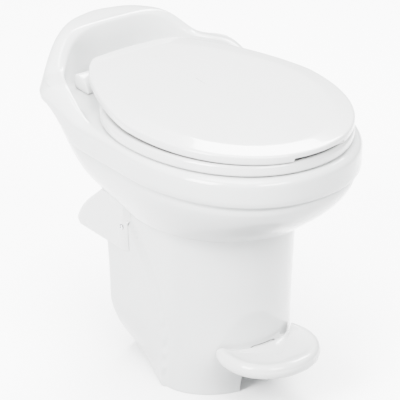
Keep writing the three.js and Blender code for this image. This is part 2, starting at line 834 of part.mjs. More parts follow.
function makeCoverScrew(side) {
  const centre = [coverScrewY, coverScrewZ];
  const seat = coverHalf + seatGap;
  return joined(
    sideCylinder(side, coverScrewRadius, coverHalf - coverScrewLength, seat + seatGap, centre, smallSides),
    sideCylinder(side, coverScrewHead, seat, seat + coverScrewHeadHeight, centre, smallSides));
}

piece('bowl', makeBowl(), china);
piece('pedestal', makePedestal(), china);
piece('rear_cover', makeRearCover(), china);
for (const [name, side] of [['left', -1], ['right', 1]]) {
  piece(`rear_cover_screw_${name}`, makeCoverScrew(side), steel);
}

// Mechanism housing: a round chamber for the flush ball, with the outlet below it.
function makeHousing() {
  const cavity = ballRadius + ballCavityGap;
  const outlet = outletInner + outletWall;
  const floor = -ballHeight;
  const profile = [
    [outletInner, floor + outletTip],
    [outlet, floor + outletTip],
    [outlet, floor + webThickness + seatGap],
    [standFlangeRadius, floor + webThickness + seatGap],
    [standFlangeRadius, floor + webThickness + seatGap + standFlangeThickness],
    [outlet, floor + webThickness + seatGap + standFlangeThickness],
    [outlet, -housingSoleDepth],
    [housingWaistRadius, -housingWaistDepth],
    [housingRadius, -housingSideDepth],
    [housingRadius, housingShoulder],
    [housingNeckRadius, housingNeckHeight],
    [housingNeckRadius, housingTop - housingFlangeThickness],
    [flangeRadius, housingTop - housingFlangeThickness],
    [flangeRadius, housingTop],
    [sealOuter + seatGap, housingTop],
    [sealOuter + seatGap, sealLipHeight],
  ];
  const from = Math.asin(sealLipRadius / cavity);
  const to = Math.PI - Math.asin(outletInner / cavity);
  profile.push([sealLipRadius, sealLipHeight]);
  for (let i = 0; i <= cavitySteps; i++) {
    const turn = mix(from, to, i / cavitySteps);
    profile.push([cavity * Math.sin(turn), cavity * Math.cos(turn)]);
  }
  const body = turned(profile, [0, drainY, ballHeight]);
  const axle = [drainY, ballHeight];
  const hollow = ball(cavity, [0, drainY, ballHeight]);
  const bosses = [-1, 1].map((side) => cut(
    sideCylinder(side, sideBossRadius, housingNeckRadius, bossFace, axle), hollow));
  const bores = [-1, 1].map((side) => sideCylinder(
    side, ballShaftRadius + bushWall + seatGap + seatGap, sealInner, bossFace + overrun, axle));
  return cut(joined(body, ...bosses), ...bores);
}

// Flush ball: a spherical cap on two straps, with a shaft each side.
function makeFlushBall() {
  const centre = [0, drainY, ballHeight];
  const shell = cut(ball(ballRadius, centre), ball(ballRadius - ballWall, centre));
  const reach = ballRadius + overrun;
  const cap = box(
    [-reach, reach], [drainY - reach, drainY + reach], [ballHeight + ballCapHeight, ballHeight + reach]);
  const strap = box(
    [-reach, reach], [drainY - ballStrapHalf, drainY + ballStrapHalf],
    [ballHeight - ballStrapHalf, ballHeight + reach]);
  const axle = [drainY, ballHeight];
  const hubs = joined(...[-1, 1].map((side) => sideCylinder(
    side, ballStrapHalf, ballRadius - ballWall - ballWall, ballRadius, axle)));
  const left = sideCylinder(-1, ballShaftRadius, ballRadius - ballWall, camSide + camWidth + ballWall, axle);
  const right = sideCylinder(
    1, ballShaftRadius, ballRadius - ballWall, gearSide + gearWidth + ballWall, axle);
  return joined(shell.intersect(cap.add(strap)), hubs.intersect(ball(ballRadius, centre)), left, right);
}

piece('mechanism_housing', makeHousing(), housingPlastic);
piece('ball_seal', washer(
  sealInner, sealOuter, ballHeight + sealLipHeight + seatGap, ballHeight + housingTop - seatGap, [0, drainY],
), rubber);
piece('flush_ball', makeFlushBall(), ballPlastic);
for (const [name, side] of [['left', -1], ['right', 1]]) {
  const axle = [drainY, ballHeight];
  const outer = ballShaftRadius + seatGap + bushWall;
  const bush = cut(
    sideCylinder(side, outer, bushInner, bossFace - seatGap, axle),
    sideCylinder(side, ballShaftRadius + seatGap, bushInner - overrun, bossFace, axle));
  piece(`shaft_bushing_${name}`, bush, gearPlastic);
}
piece('floor_seal', washer(
  outletInner + outletWall + seatGap, outletInner + outletWall + seatGap + floorSealWidth,
  closetBoltBottom, webThickness, [0, drainY],
), rubber);

// Clamp: two half bands that hold the bowl's throat flange to the housing's.
function makeClampHalf(side) {
  const low = housingTop - housingFlangeThickness - seatGap;
  const high = housingTop + seatGap + flangeThickness + seatGap;
  const band = turned([
    [housingNeckRadius + seatGap + seatGap, low - clampLip],
    [clampOuter, low - clampLip],
    [clampOuter, high + clampLip],
    [housingNeckRadius + seatGap + seatGap, high + clampLip],
    [housingNeckRadius + seatGap + seatGap, high],
    [flangeRadius + clampGap, high],
    [flangeRadius + clampGap, low],
    [housingNeckRadius + seatGap + seatGap, low],
  ], [0, drainY, ballHeight]);
  const middle = ballHeight + (low + high) / 2;
  const reach = clampOuter + clampEarReach;
  const tall = [middle - clampEarHeight / 2, middle + clampEarHeight / 2];
  const across = [0, clampSplit + clampEarThickness];
  const start = flangeRadius + clampLip;
  const ears = [
    sideBox(side, across, [drainY - reach, drainY - start], tall),
    sideBox(side, across, [drainY + start, drainY + reach], tall),
  ];
  const wide = reach + overrun;
  const half = sideBox(
    side, [clampSplit / 2, wide], [drainY - wide, drainY + wide], [middle - wide, middle + wide]);
  return cut(joined(band, ...ears).intersect(half), ...clampScrewPlaces().map((y) => cylinder(
    'x', clampScrewRadius + seatGap, -clampEarThickness - overrun - overrun,
    clampEarThickness + overrun + overrun, [y, middle], smallSides)));
}

function clampScrewPlaces() {
  const reach = clampOuter + clampEarReach / 2;
  return [drainY - reach, drainY + reach];
}

function makeClampScrew(y) {
  const low = housingTop - housingFlangeThickness - seatGap;
  const high = housingTop + seatGap + flangeThickness + seatGap;
  const centre = [y, ballHeight + (low + high) / 2];
  const seat = clampSplit + clampEarThickness + seatGap;
  return joined(
    cylinder('x', clampScrewRadius, -seat, seat + seatGap, centre, smallSides),
    cylinder('x', clampScrewHead, seat, seat + clampScrewHeadHeight, centre, hexSides));
}

piece('bowl_clamp_left', makeClampHalf(-1), steel);
piece('bowl_clamp_right', makeClampHalf(1), steel);
clampScrewPlaces().forEach((y, i) => piece(`clamp_screw_${['front', 'rear'][i]}`, makeClampScrew(y), steel));

// Closet bolts, washers and nuts on the floor web.
for (const [name, side] of [['left', -1], ['right', 1]]) {
  const centre = [side * closetSpacing / 2, drainY];
  const washerBottom = webThickness + seatGap;
  const nutBottom = washerBottom + washerThickness + seatGap;
  piece(`closet_bolt_${name}`, cylinder(
    'z', closetBoltRadius, closetBoltBottom, closetBoltTop, centre, smallSides), brass);
  piece(`closet_washer_${name}`, washer(
    closetBoltRadius + seatGap, washerRadius, washerBottom, washerBottom + washerThickness, centre), brass);
  piece(`closet_nut_${name}`, washer(
    closetBoltRadius + seatGap, closetNutRadius, nutBottom, nutBottom + closetNutThickness,
    centre, hexSides), brass);
}

// Gears: straight-sided teeth, narrower than their spaces so that they roll with play.
const axleRun = Math.hypot(drainY - pedalPivotY, ballHeight - pedalPivotZ);
const axleTurn = Math.atan2(ballHeight - pedalPivotZ, drainY - pedalPivotY);
const pinionRadius = axleRun / (1 + gearRatio);
const sectorRadius = axleRun - pinionRadius;
const gearModule = 2 * pinionRadius / pinionTeeth;

function tooth(radius, middle, pitchTurn, centre) {
  const root = radius - gearModule * dedendumShare;
  const tip = radius + gearModule * addendumShare;
  return [[root, -toothRootShare], [tip, -toothTipShare], [tip, toothTipShare], [root, toothRootShare]].map(
    ([reach, share]) => [
      centre[0] + reach * Math.cos(middle + share * pitchTurn),
      centre[1] + reach * Math.sin(middle + share * pitchTurn)]);
}

function makePinion() {
  const pitchTurn = 2 * Math.PI / pinionTeeth;
  const points = [];
  for (let i = 0; i < pinionTeeth; i++) {
    const middle = axleTurn + Math.PI + (i + 1 / 2) * pitchTurn;
    points.push(...tooth(pinionRadius, middle, pitchTurn, [drainY, ballHeight]));
  }
  const [from, to] = [gearSide, gearSide + gearWidth];
  return cut(
    plate(points, from, to),
    cylinder('x', ballShaftRadius + seatGap, from - overrun, to + overrun, [drainY, ballHeight]));
}

function makeSector() {
  const pivot = [pedalPivotY, pedalPivotZ];
  const pitchTurn = 2 * Math.PI / (pinionTeeth * gearRatio);
  const points = [];
  for (let i = 0; i < sectorTeeth; i++) {
    points.push(...tooth(sectorRadius, axleTurn + (i - sectorLead) * pitchTurn, pitchTurn, pivot));
  }
  const inner = sectorRadius - gearModule * dedendumShare - sectorRim;
  for (let i = sectorTeeth - 1; i >= 0; i--) {
    const turn = axleTurn + (i - sectorLead) * pitchTurn;
    points.push([pivot[0] + inner * Math.cos(turn), pivot[1] + inner * Math.sin(turn)]);
  }
  const middle = axleTurn + ((sectorTeeth - 1) / 2 - sectorLead) * pitchTurn;
  const along = [Math.cos(middle), Math.sin(middle)];
  const arm = [[0, -1], [1, -1], [1, 1], [0, 1]].map(([far, way]) => {
    const reach = far * (inner + sectorRim / 2);
    return [
      pivot[0] + reach * along[0] - way * sectorArmHalf * along[1],
      pivot[1] + reach * along[1] + way * sectorArmHalf * along[0]];
  });
  const sides = [gearSide, gearSide + gearWidth];
  return cut(
    joined(plate(points, ...sides), plate(arm, ...sides), cylinder('x', hubRadius, ...sides, pivot)),
    cylinder('x', shaftRadius + seatGap, sides[0] - overrun, sides[1] + overrun, pivot));
}

// Valve cam: its radius grows evenly over the quarter turn, so the plunger moves evenly too.
function makeCam() {
  const points = [];
  for (let i = 0; i < camSteps; i++) {
    const turn = 2 * Math.PI * i / camSteps;
    const quarter = Math.PI / 2;
    const rising = Math.min(turn / quarter, 1);
    const falling = smooth((turn - quarter) / quarter);
    const past = 2 * Math.PI - turn < quarter / 2 ? 0 : rising * (1 - falling);
    const radius = camBase + camLift * past;
    points.push([drainY + radius * Math.cos(turn), ballHeight + radius * Math.sin(turn)]);
  }
  const [from, to] = [-camSide - camWidth, -camSide];
  return cut(
    plate(points, from, to),
    cylinder('x', ballShaftRadius + seatGap, from - overrun, to + overrun, [drainY, ballHeight]));
}

piece('pinion', makePinion(), gearPlastic);
piece('sector_gear', makeSector(), gearPlastic);
piece('valve_cam', makeCam(), gearPlastic);

// Spring cartridge on the left of the housing, with the ball's return spring in it.
function makeCartridge() {
  const axle = [drainY, ballHeight];
  const from = bossFace + seatGap;
  const to = from + cartridgeLength;
  return cut(
    sideCylinder(-1, cartridgeRadius, from, to, axle),
    sideCylinder(-1, cartridgeRadius - cartridgeWall, from - overrun, to - cartridgeWall, axle),
    sideCylinder(-1, ballShaftRadius + seatGap, from, to + overrun, axle));
}

function makeReturnSpring() {
  const coil = cartridgeRadius - cartridgeWall - springWire - seatGap;
  const from = bossFace + seatGap + springWire + cartridgeWall;
  const to = bossFace + seatGap + cartridgeLength - cartridgeWall - springWire - seatGap;
  const steps = springTurns * springSteps;
  const rings = [];
  for (let i = 0; i <= steps; i++) {
    const turn = 2 * Math.PI * i / springSteps;
    const x = -mix(from, to, i / steps);
    const wire = [];
    for (let s = 0; s < springSides; s++) {
      const way = 2 * Math.PI * s / springSides;
      const reach = coil + springWire * Math.cos(way);
      const [y, z] = [drainY + reach * Math.cos(turn), ballHeight + reach * Math.sin(turn)];
      wire.push([x + springWire * Math.sin(way), y, z]);
    }
    rings.push(wire);
  }
  return loft(rings);
}

piece('spring_cartridge', makeCartridge(), housingPlastic);
piece('return_spring', makeReturnSpring(), steel);

// Pedal: a dished plate with a turned-down rim, on a lever that reaches in through the doorway.
function makePedal() {
  const shape = outline(pedalHalf, pedalReach, pedalReach, pedalCentreY, pedalCentreY, frontPower, 2);
  const disc = loft(pedalRows.map(
    ([inset, rise]) => ring(grown(shape, -inset), pedalTop + rise, pedalSteps)));
  const heights = [0, apronHeight / 2, apronHeight, bowlFootHeight];
  const columnSpace = loft(heights.map((z) => columnRing(z, -pedalColumnGap)));
  const lever = box(
    [-hubHalf, hubHalf], [pedalPivotY - leverReach, pedalPivotY],
    [pedalPivotZ - leverThickness / 2, pedalPivotZ + leverThickness / 2]);
  const pivot = [pedalPivotY, pedalPivotZ];
  return cut(
    joined(cut(disc, columnSpace), lever, cylinder('x', hubRadius, -hubHalf, hubHalf, pivot)),
    cylinder('x', shaftRadius + seatGap, -hubHalf - overrun, hubHalf + overrun, pivot));
}

piece('pedal', makePedal(), seatPlastic);
piece('pedal_shaft', cylinder('x', shaftRadius, -shaftHalf, shaftHalf, [pedalPivotY, pedalPivotZ]), steel);
for (const [name, side] of [['left', -1], ['right', 1]]) {
  const pivot = [pedalPivotY, pedalPivotZ];
  const from = bossInner + seatGap;
  piece(`pedal_bearing_${name}`, cut(
    sideCylinder(side, shaftRadius + seatGap + bearingWall, from, from + bearingLength, pivot),
    sideCylinder(side, shaftRadius + seatGap, from - overrun, from + bearingLength + overrun, pivot),
  ), gearPlastic);
}

// Water valve, its plunger, and the inlet with its lock nut and swivel nut.
const valveCentre = [valveX, ballHeight];
const plungerTip = drainY + camBase + plungerGap;
const plungerShoulder = plungerTip + plungerRadius;

function makeValve() {
  const back = pedestalRear - chinaWall - seatGap;
  return cut(
    joined(
      cylinder('y', valveRadius, valveFront, back, valveCentre),
      cylinder('y', nippleRadius, back - overrun, nippleEnd, valveCentre),
      cylinder('z', barbRadius, ballHeight, valveOutletTop, [valveX, valveOutletY], smallSides)),
    cylinder('y', plungerRadius + seatGap, valveFront - overrun, plungerBoreEnd, valveCentre, smallSides),
    cylinder('y', nippleBore, plungerBoreEnd - overrun, nippleEnd + overrun, valveCentre, smallSides),
    cylinder('z', barbBore, ballHeight, valveOutletTop + overrun, [valveX, valveOutletY], smallSides));
}

piece('water_valve', makeValve(), housingPlastic);
piece('valve_plunger', joined(
  cylinder('y', plungerRadius, plungerShoulder, plungerTip + plungerLength, valveCentre, smallSides),
  ball(plungerRadius, [valveX, plungerShoulder, ballHeight], smallSides),
), steel);
for (const [name, radius, from, length, material] of [
  ['inlet_locknut', locknutRadius, pedestalRear + seatGap, locknutThickness, housingPlastic],
  ['inlet_swivel_nut', inletNutRadius, inletNutFrom, inletNutLength, brass],
]) {
  piece(name, cut(
    cylinder('y', radius, from, from + length, valveCentre, hexSides),
    cylinder('y', nippleRadius + seatGap, from - overrun, from + length + overrun, valveCentre),
  ), material);
}

// Vacuum breaker inside the raised back, and the nozzle under the rim.
const breakerTop = breakerBottom + breakerHeight;
const breakerCentre = [0, breakerY];
const barbEnd = breakerBottom - breakerBarbLength;

function makeBreaker() {
  const lugFront = crestReach + crestRound + seatGap;
  const barbs = [-1, 1].map((side) => cylinder(
    'z', barbRadius, barbEnd, breakerBottom + breakerWall, [side * breakerBarbX, breakerBarbY], smallSides));
  const ports = [-1, 1].map((side) => cylinder(
    'z', barbBore, barbEnd - overrun, breakerBottom + breakerFloor + overrun,
    [side * breakerBarbX, breakerBarbY], smallSides));
  const lug = box(
    [-breakerLugHalf, breakerLugHalf], [lugFront, breakerY - breakerRadius + breakerWall],
    [breakerTop - breakerLugHeight, breakerTop]);
  const chamber = cylinder(
    'z', breakerRadius - breakerWall, breakerBottom + breakerFloor, breakerTop + overrun, breakerCentre);
  const body = cylinder('z', breakerRadius, breakerBottom, breakerTop, breakerCentre);
  return cut(joined(body, lug, ...barbs), chamber, ...ports);
}

const poppetBottom = breakerBottom + breakerFloor + seatGap;
const poppetTop = poppetBottom + poppetThickness;
const capBottom = breakerTop + seatGap;
piece('vacuum_breaker', makeBreaker(), housingPlastic);
piece('vacuum_breaker_cap', cylinder(
  'z', breakerRadius, capBottom, capBottom + breakerCapHeight, breakerCentre), housingPlastic);
piece('vacuum_breaker_poppet', joined(
  cylinder('z', poppetRadius, poppetBottom, poppetTop, breakerCentre),
  cylinder('z', poppetStem, poppetBottom, poppetTop + poppetStemLength, breakerCentre, smallSides),
), rubber);

function makeNozzle() {
  const headBack = openingAt + openingRear - nozzleGap;
  const flangeFront = headBack + nozzleGap + underRimStep + chinaWall + nozzleGap;
  const rod = (radius, from, to) => cylinder('y', radius, from, to, [0, nozzleHeight], smallSides);
  const head = rod(nozzleHeadRadius, headBack - nozzleHeadLength, headBack);
  const stem = rod(nozzleRadius, headBack - overrun, nozzleTail);
  const flange = rod(nozzleHeadRadius, flangeFront, flangeFront + nozzleFlangeThickness);
  const bore = rod(nozzleBore, headBack - nozzleHeadLength - overrun, nozzleTail + overrun);
  return cut(joined(head, stem, flange), bore);
}

piece('rim_nozzle', makeNozzle(), housingPlastic);

// Hoses, from the valve up to the vacuum breaker and from there to the rim nozzle.
piece('supply_hose', tube([
  [valveX, valveOutletY, valveOutletTop + seatGap],
  ...supplyRoute,
  [-breakerBarbX, breakerBarbY, hoseTurnHeight],
  [-breakerBarbX, breakerBarbY, barbEnd - seatGap],
], hoseRadius), hosePlastic);
piece('rinse_hose', tube([
  [breakerBarbX, breakerBarbY, barbEnd - seatGap],
  [breakerBarbX, breakerBarbY, hoseTurnHeight],
  ...rinseRoute,
  [0, nozzleTail + seatGap, nozzleHeight],
], hoseRadius), hosePlastic);

// Hinge posts on the deck behind the bowl, with their pins, bolts and nuts.
for (const [name, side] of [['left', -1], ['right', 1]]) {
  const axle = [hingeY, hingeZ];
  const across = [postFrom, postFrom + postWidth];
  const baseBottom = rimHeight + seatGap;
  const baseTop = baseBottom + postBaseHeight;
  const bolt = [side * (postFrom + postWidth / 2), hingeBoltY];
  const pinEnd = postFrom + postWidth - knuckleGap;
  piece(`hinge_post_${name}`, cut(
    joined(
      sideBox(side, across, [postFront, postRear], [baseBottom, baseTop]),
      sideCylinder(side, postBarrelRadius, ...across, axle)),
    sideCylinder(side, hingePinRadius + seatGap, postFrom - overrun, pinEnd + seatGap, axle, smallSides),
    cylinder('z', hingeBoltRadius + seatGap, baseBottom - overrun, baseTop + overrun, bolt, smallSides),
  ), seatPlastic);
  piece(`hinge_pin_${name}`, sideCylinder(
    side, hingePinRadius, lidKnuckleFrom - knuckleGap, pinEnd, axle, smallSides), steel);
  const headBottom = baseTop + seatGap;
  piece(`hinge_bolt_${name}`, joined(
    cylinder('z', hingeBoltRadius, hingeBoltTail, headBottom + seatGap, bolt, smallSides),
    cylinder('z', hingeBoltHead, headBottom, headBottom + hingeBoltHeadHeight, bolt, smallSides),
  ), seatPlastic);
  const nutTop = rimUnderside - seatGap;
  piece(`hinge_nut_${name}`, washer(
    hingeBoltRadius + seatGap, hingeNutRadius, nutTop - hingeNutThickness, nutTop,
    bolt, hexSides), seatPlastic);
}

// Seat: an oval ring with two arms that end in knuckles on the hinge pins.
function makeSeat() {
  const outer = outline(seatHalf, seatFront, seatRear, 0, 0, frontPower, 2);
  const hole = outline(
    seatHoleHalf, seatHoleFront, seatHoleRear, openingAt, openingAt, frontPower, frontPower);
  const rings = [
    ...seatOuterRows.map(([growth, lift]) => ring(grown(outer, growth), seatBottom + lift, seatSteps)),
    ...seatInnerRows.map(([growth, lift]) => ring(grown(hole, growth), seatBottom + lift, seatSteps)),
  ];
  const from = lidKnuckleFrom + knuckleWidth + knuckleGap;
  const across = [from, from + knuckleWidth];
  const armTop = hingeZ;
  const arms = [-1, 1].flatMap((side) => [
    sideBox(side, across, [seatArmFrom, hingeY], [armTop - seatArmDepth, armTop]),
    sideCylinder(side, knuckleRadius, ...across, [hingeY, hingeZ]),
  ]);
  const pinBore = cylinder(
    'x', hingePinRadius + seatGap, -across[1] - overrun, across[1] + overrun, [hingeY, hingeZ], smallSides);
  return cut(joined(loft(rings, true), ...arms), pinBore);
}

// Lid: a crowned shell, hollow below, with a finger notch at the front and two knuckles.
const lidShape = {
  ...outline(lidHalf, lidFront, lidRear, 0, 0, frontPower, lidRearPower),
  rearHalf: lidRearHalf,
  rearBow: lidRearBow,
};

function makeLid() {
  const rings = lidRows.map(([growth, lift]) => ring(grown(lidShape, growth), lidBottom + lift, seatSteps));
  const across = [lidKnuckleFrom, lidKnuckleFrom + knuckleWidth];
  const along = [hingeY - knuckleRadius, hingeY + knuckleRadius];
  const webs = [-1, 1].flatMap((side) => [
    sideBox(side, across, along, [hingeZ, lidBottom + lidShell + overrun]),
    sideCylinder(side, knuckleRadius, ...across, [hingeY, hingeZ]),
  ]);
  const pinBore = cylinder(
    'x', hingePinRadius + seatGap, -across[1] - overrun, across[1] + overrun, [hingeY, hingeZ], smallSides);
  const notch = box(
    [-liftNotchHalf, liftNotchHalf], [-lidFront - overrun, liftNotchRun - lidFront],
    [lidBottom - overrun, lidBottom + liftNotchDepth]);
  return cut(joined(loft(rings), ...webs), pinBore, notch);
}

piece('seat', makeSeat(), seatPlastic);
const lidTurn = new THREE.Group();
lidTurn.position.set(0, hingeY, hingeZ);
lidTurn.rotation.x = lidTilt;
const lidPlace = new THREE.Group();
lidPlace.position.set(0, -hingeY, -hingeZ);
lidTurn.add(lidPlace);
oval.add(lidTurn);
piece('lid', makeLid(), seatPlastic, lidPlace);

// Bumpers under the seat and the lid.
for (const [name, side] of [['left', -1], ['right', 1]]) {
  for (const place of ['front', 'rear']) {
    const [seatInward, seatY] = seatBumperInsets[place];
    const seatX = seatHalf - seatInward;
    piece(`seat_bumper_${place}_${name}`, cylinder(
      'z', bumperRadius, rimHeight + seatGap, seatBottom - seatGap,
      [side * seatX, seatY], smallSides), rubber);
    const [lidInward, lidY] = lidBumperInsets[place];
    const lidX = lidHalf - lidInward;
    const drop = (hingeY - lidY) * lidTilt;
    const padBottom = seatBottom + seatThickness + seatGap + seatGap + drop;
    piece(`lid_bumper_${place}_${name}`, cylinder(
      'z', bumperRadius, padBottom, lidBottom + lidShell - seatGap,
      [side * lidX, lidY], smallSides), rubber, lidPlace);
  }
}

export default toilet;
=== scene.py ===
import math
from dataclasses import dataclass, replace

import bpy
import numpy as np
from mathutils import Matrix, Vector


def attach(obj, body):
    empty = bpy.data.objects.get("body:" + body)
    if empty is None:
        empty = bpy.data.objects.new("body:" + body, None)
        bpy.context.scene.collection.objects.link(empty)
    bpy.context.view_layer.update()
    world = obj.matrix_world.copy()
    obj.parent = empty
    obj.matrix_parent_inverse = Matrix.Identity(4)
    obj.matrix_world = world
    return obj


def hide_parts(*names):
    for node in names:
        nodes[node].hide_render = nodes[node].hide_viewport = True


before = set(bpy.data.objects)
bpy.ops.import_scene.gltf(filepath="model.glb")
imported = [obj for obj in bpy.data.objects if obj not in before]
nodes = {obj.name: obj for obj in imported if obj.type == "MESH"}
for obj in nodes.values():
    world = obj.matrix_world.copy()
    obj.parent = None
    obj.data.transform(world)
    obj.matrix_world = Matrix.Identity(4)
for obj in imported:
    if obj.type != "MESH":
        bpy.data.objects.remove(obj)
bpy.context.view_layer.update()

# Lengths are in millimetres and Y is measured from the centre of the seat oval, as in the part's
# source. placed() brings them into the row frame, in metres.
METRE = 1000.0
OVAL_Y = -49.5
TURN_PULL = 34.0
FINE_STEPS = 88
MIDDLE_STEPS = 72
SIDES = 48

# Rim, raised back and lower bowl. A rise is a height, then where it starts and ends along Y.
RIM_HEIGHT = 442.0
BAND_CREASE_HEIGHT = 396.0
CREASE_RISE = (50.0, 118.0, 225.0)
BACK_SIDE_RISE = (19.0, 120.0, 225.0)
BACK_REAR_RISE = (62.0, 260.0, 337.0)
CREST_SIDE_RISE = (34.0, 104.0, 206.0)
CREST_REAR_RISE = (46.5, 245.0, 299.0)
CREST_ROUND = 3.0
RIM_UNDERSIDE = 425.0
RIM_DROP = 30.0
UNDER_RIM_STEP = 9.0
CHINA_WALL = 9.0
BASIN_BOTTOM = 322.0
FOOT_HEIGHT = 300.0
SKIRT_HEIGHT = 304.0
DRAIN_Y = 40.0
BALL_HEIGHT = 236.0
THROAT_BOTTOM = 286.3
THROAT_RADIUS = 42.0
THROAT_WALL = 10.0
FLANGE_RADIUS = 70.0
FLANGE_THICKNESS = 7.5
BACK_HOLLOW_HALF = 66.0
SIDE_HOLLOW = 46.0
HOLLOW_FEATHER = 14.0
ROLL_FRONT = 14.0
ROLL_REAR = 4.5
ROLL_SLACK = (0.95, 1.9)
# Along Y: where the roll starts to sag, where it stops, and over what length it does either.
ROLL_SAG = (150.0, 228.0, 50.0)
BACK_HOLLOW_TOP = 508.0
UNDER_RIM_FALL = 13.0

# Pedestal and rear cover.
PEDESTAL_TOP = 299.7
PEDESTAL_REAR = 156.0
PEDESTAL_FLARE = 6.5
PEDESTAL_FLARE_FROM = 90.0
COLUMN_HALF = 108.8
COLUMN_FRONT = 101.7
COLUMN_AT = -11.4
FOOT_HALF = 113.2
FOOT_FRONT = 92.3
FOOT_AT = 1.6
APRON_HEIGHT = 92.0
PEDESTAL_CORNER = 9.5
FLANK_STEP = 6.0
FLANK_BLEND = 3.6
CREASE_REACH = 0.83
CREASE_POWER = 2.97
HEEL_TAPER = 57.0
HEEL_HEIGHT = 104.0
HEEL_POWER = 1.6
WEB = {"x": (-108.0, 108.0), "y": (-20.0, 110.0), "z": (0.0, 10.0)}
WEB_CUT = (-5.0, 15.0)
DOORWAY_HALF = 28.0
DOORWAY_RUN = (-140.0, -60.0)
DOORWAY_FROM = -14.0
DOORWAY_CORNER = 10.0
OUTLET_RADIUS = 46.0
BOLT_HOLE_RADIUS = 4.3
BOLT_SIDE = 76.0
BOSS_RADIUS = 17.0
BOSS = (87.5, 98.0)
BORE_RADIUS = 12.0
BORE = (84.0, 96.6)
NIPPLE_X = -88.5
NIPPLE_RADIUS = 9.8
NIPPLE = (138.0, 166.0)
RECESS_RADIUS = 16.5
RECESS = (151.0, 166.0)
COVER_FRONT = 87.0
COVER_REAR = 232.0
COVER_BOTTOM = 211.0
COVER_TOP = 297.5
COVER_WALL = 2.6
COVER_CORNER = 9.0
COVER_GAP = 0.6
COVER_HUG = (0.45, 0.1)
COVER_FEATHER = 9.0
# Heights of the cover's rings: close together near its two edges, 22 of them between.
COVER_LOW = (211.0, 212.2, 214.0, 216.0)
COVER_BETWEEN = (218.0, 293.0, 22)
COVER_HIGH = (293.6, 295.6, 296.9)
COVER_HALF = COLUMN_HALF + PEDESTAL_FLARE + FLANK_STEP + COVER_GAP + COVER_WALL
COVER_SCREW = (99.0, 252.0)
SCREW_HOLE_RADIUS = 2.5
SCREW_HOLE = (105.0, 125.0)
SCREW_SLOT = (4.6, 0.9)

# Seat, lid and hinges.
SEAT_BOTTOM = 446.0
SEAT_HANG = 2.2
LID_BOTTOM = 474.0
LID_TILT = 0.02
# The lip that hangs: how far inwards it reaches and how high. A run is a start and a length.
LID_LIP = (-17.0, 4.5)
LID_HANG = (0.5, 2.2)
LID_HANG_RUN = (20.0, 180.0)
LID_THICKER = 2.0
LID_THICKER_RISE = (6.0, 8.0)
LID_THICKER_RUN = (-160.0, 380.0)
LID_HOLLOW = 6.0
FINGER_SLOT = {"x": (-38.0, 66.0), "y": (-245.0, -221.0), "z": (-20.0, -4.6)}
HINGE = (236.0, 459.0)
HINGE_PIN_RADIUS = 4.0
PIN_CLEARANCE = 0.3
PIN_REACH = 90.0
KNUCKLE_RADIUS = 7.0
LID_KNUCKLE = (58.0, 68.0)
SEAT_KNUCKLE = (70.0, 80.0)
# The arm's front and thickness, and the lid web's half depth and height.
ARM = (160.0, 10.0)
LID_WEB = (7.0, 8.0)
POST = (86.0, 112.0)
HINGE_BOLT = (99.0, 216.5)
BOLT_POCKET_RADIUS = 8.4
BOLT_POCKET = (438.0, 456.0)

# Rubber bumpers: where each pair sits beside the middle line and along Y.
SEAT_BUMPERS = {"front": (126.0, -118.0), "rear": (139.0, 78.0)}
LID_BUMPERS = {"front": (122.0, -122.0), "rear": (136.0, 66.0)}
BUMPER_RADIUS = 8.0
BUMPER_GAP = 0.3
# How far above the seat's bottom the lid's bumpers start.
LID_BUMPER_RISE = 17.6

# Pedal.
PEDAL_TOP = 97.0
PEDAL_MIDDLE = -163.0
PEDAL_TIP_ROUND = 34.0
PEDAL_GAP = 4.0
PEDAL_PIVOT = (-35.0, 84.0)
PEDAL_SHAFT_RADIUS = 8.0
PEDAL_SEARCH = -60.0
# A radius past everything, for rays that don't meet the column.
OUT_OF_REACH = 400.0
LEVER_HALF = 20.0
LEVER_FRONT = -131.0
LEVER_HEIGHTS = (77.5, 90.5)
LEVER_EDGE = 2.5
HUB_RADIUS = 15.0
HUB_BORE_REACH = 30.0


def smooth(value):
    part = np.clip(value, 0, 1)
    return part * part * (3 - 2 * part)


def mix(low, high, part):
    return low + (high - low) * part


def span(side, low, high):
    """Two distances from the middle line, to one side of it, in rising order."""
    return sorted((side * low, side * high))


def climb(rise, y):
    by, start, end = rise
    return by * smooth((y - start) / (end - start))


def band_crease(y):
    return BAND_CREASE_HEIGHT + climb(CREASE_RISE, y)


def band_top(y):
    return RIM_HEIGHT + climb(BACK_SIDE_RISE, y) + climb(BACK_REAR_RISE, y)


def crest(y):
    return RIM_HEIGHT + climb(CREST_SIDE_RISE, y) + climb(CREST_REAR_RISE, y)


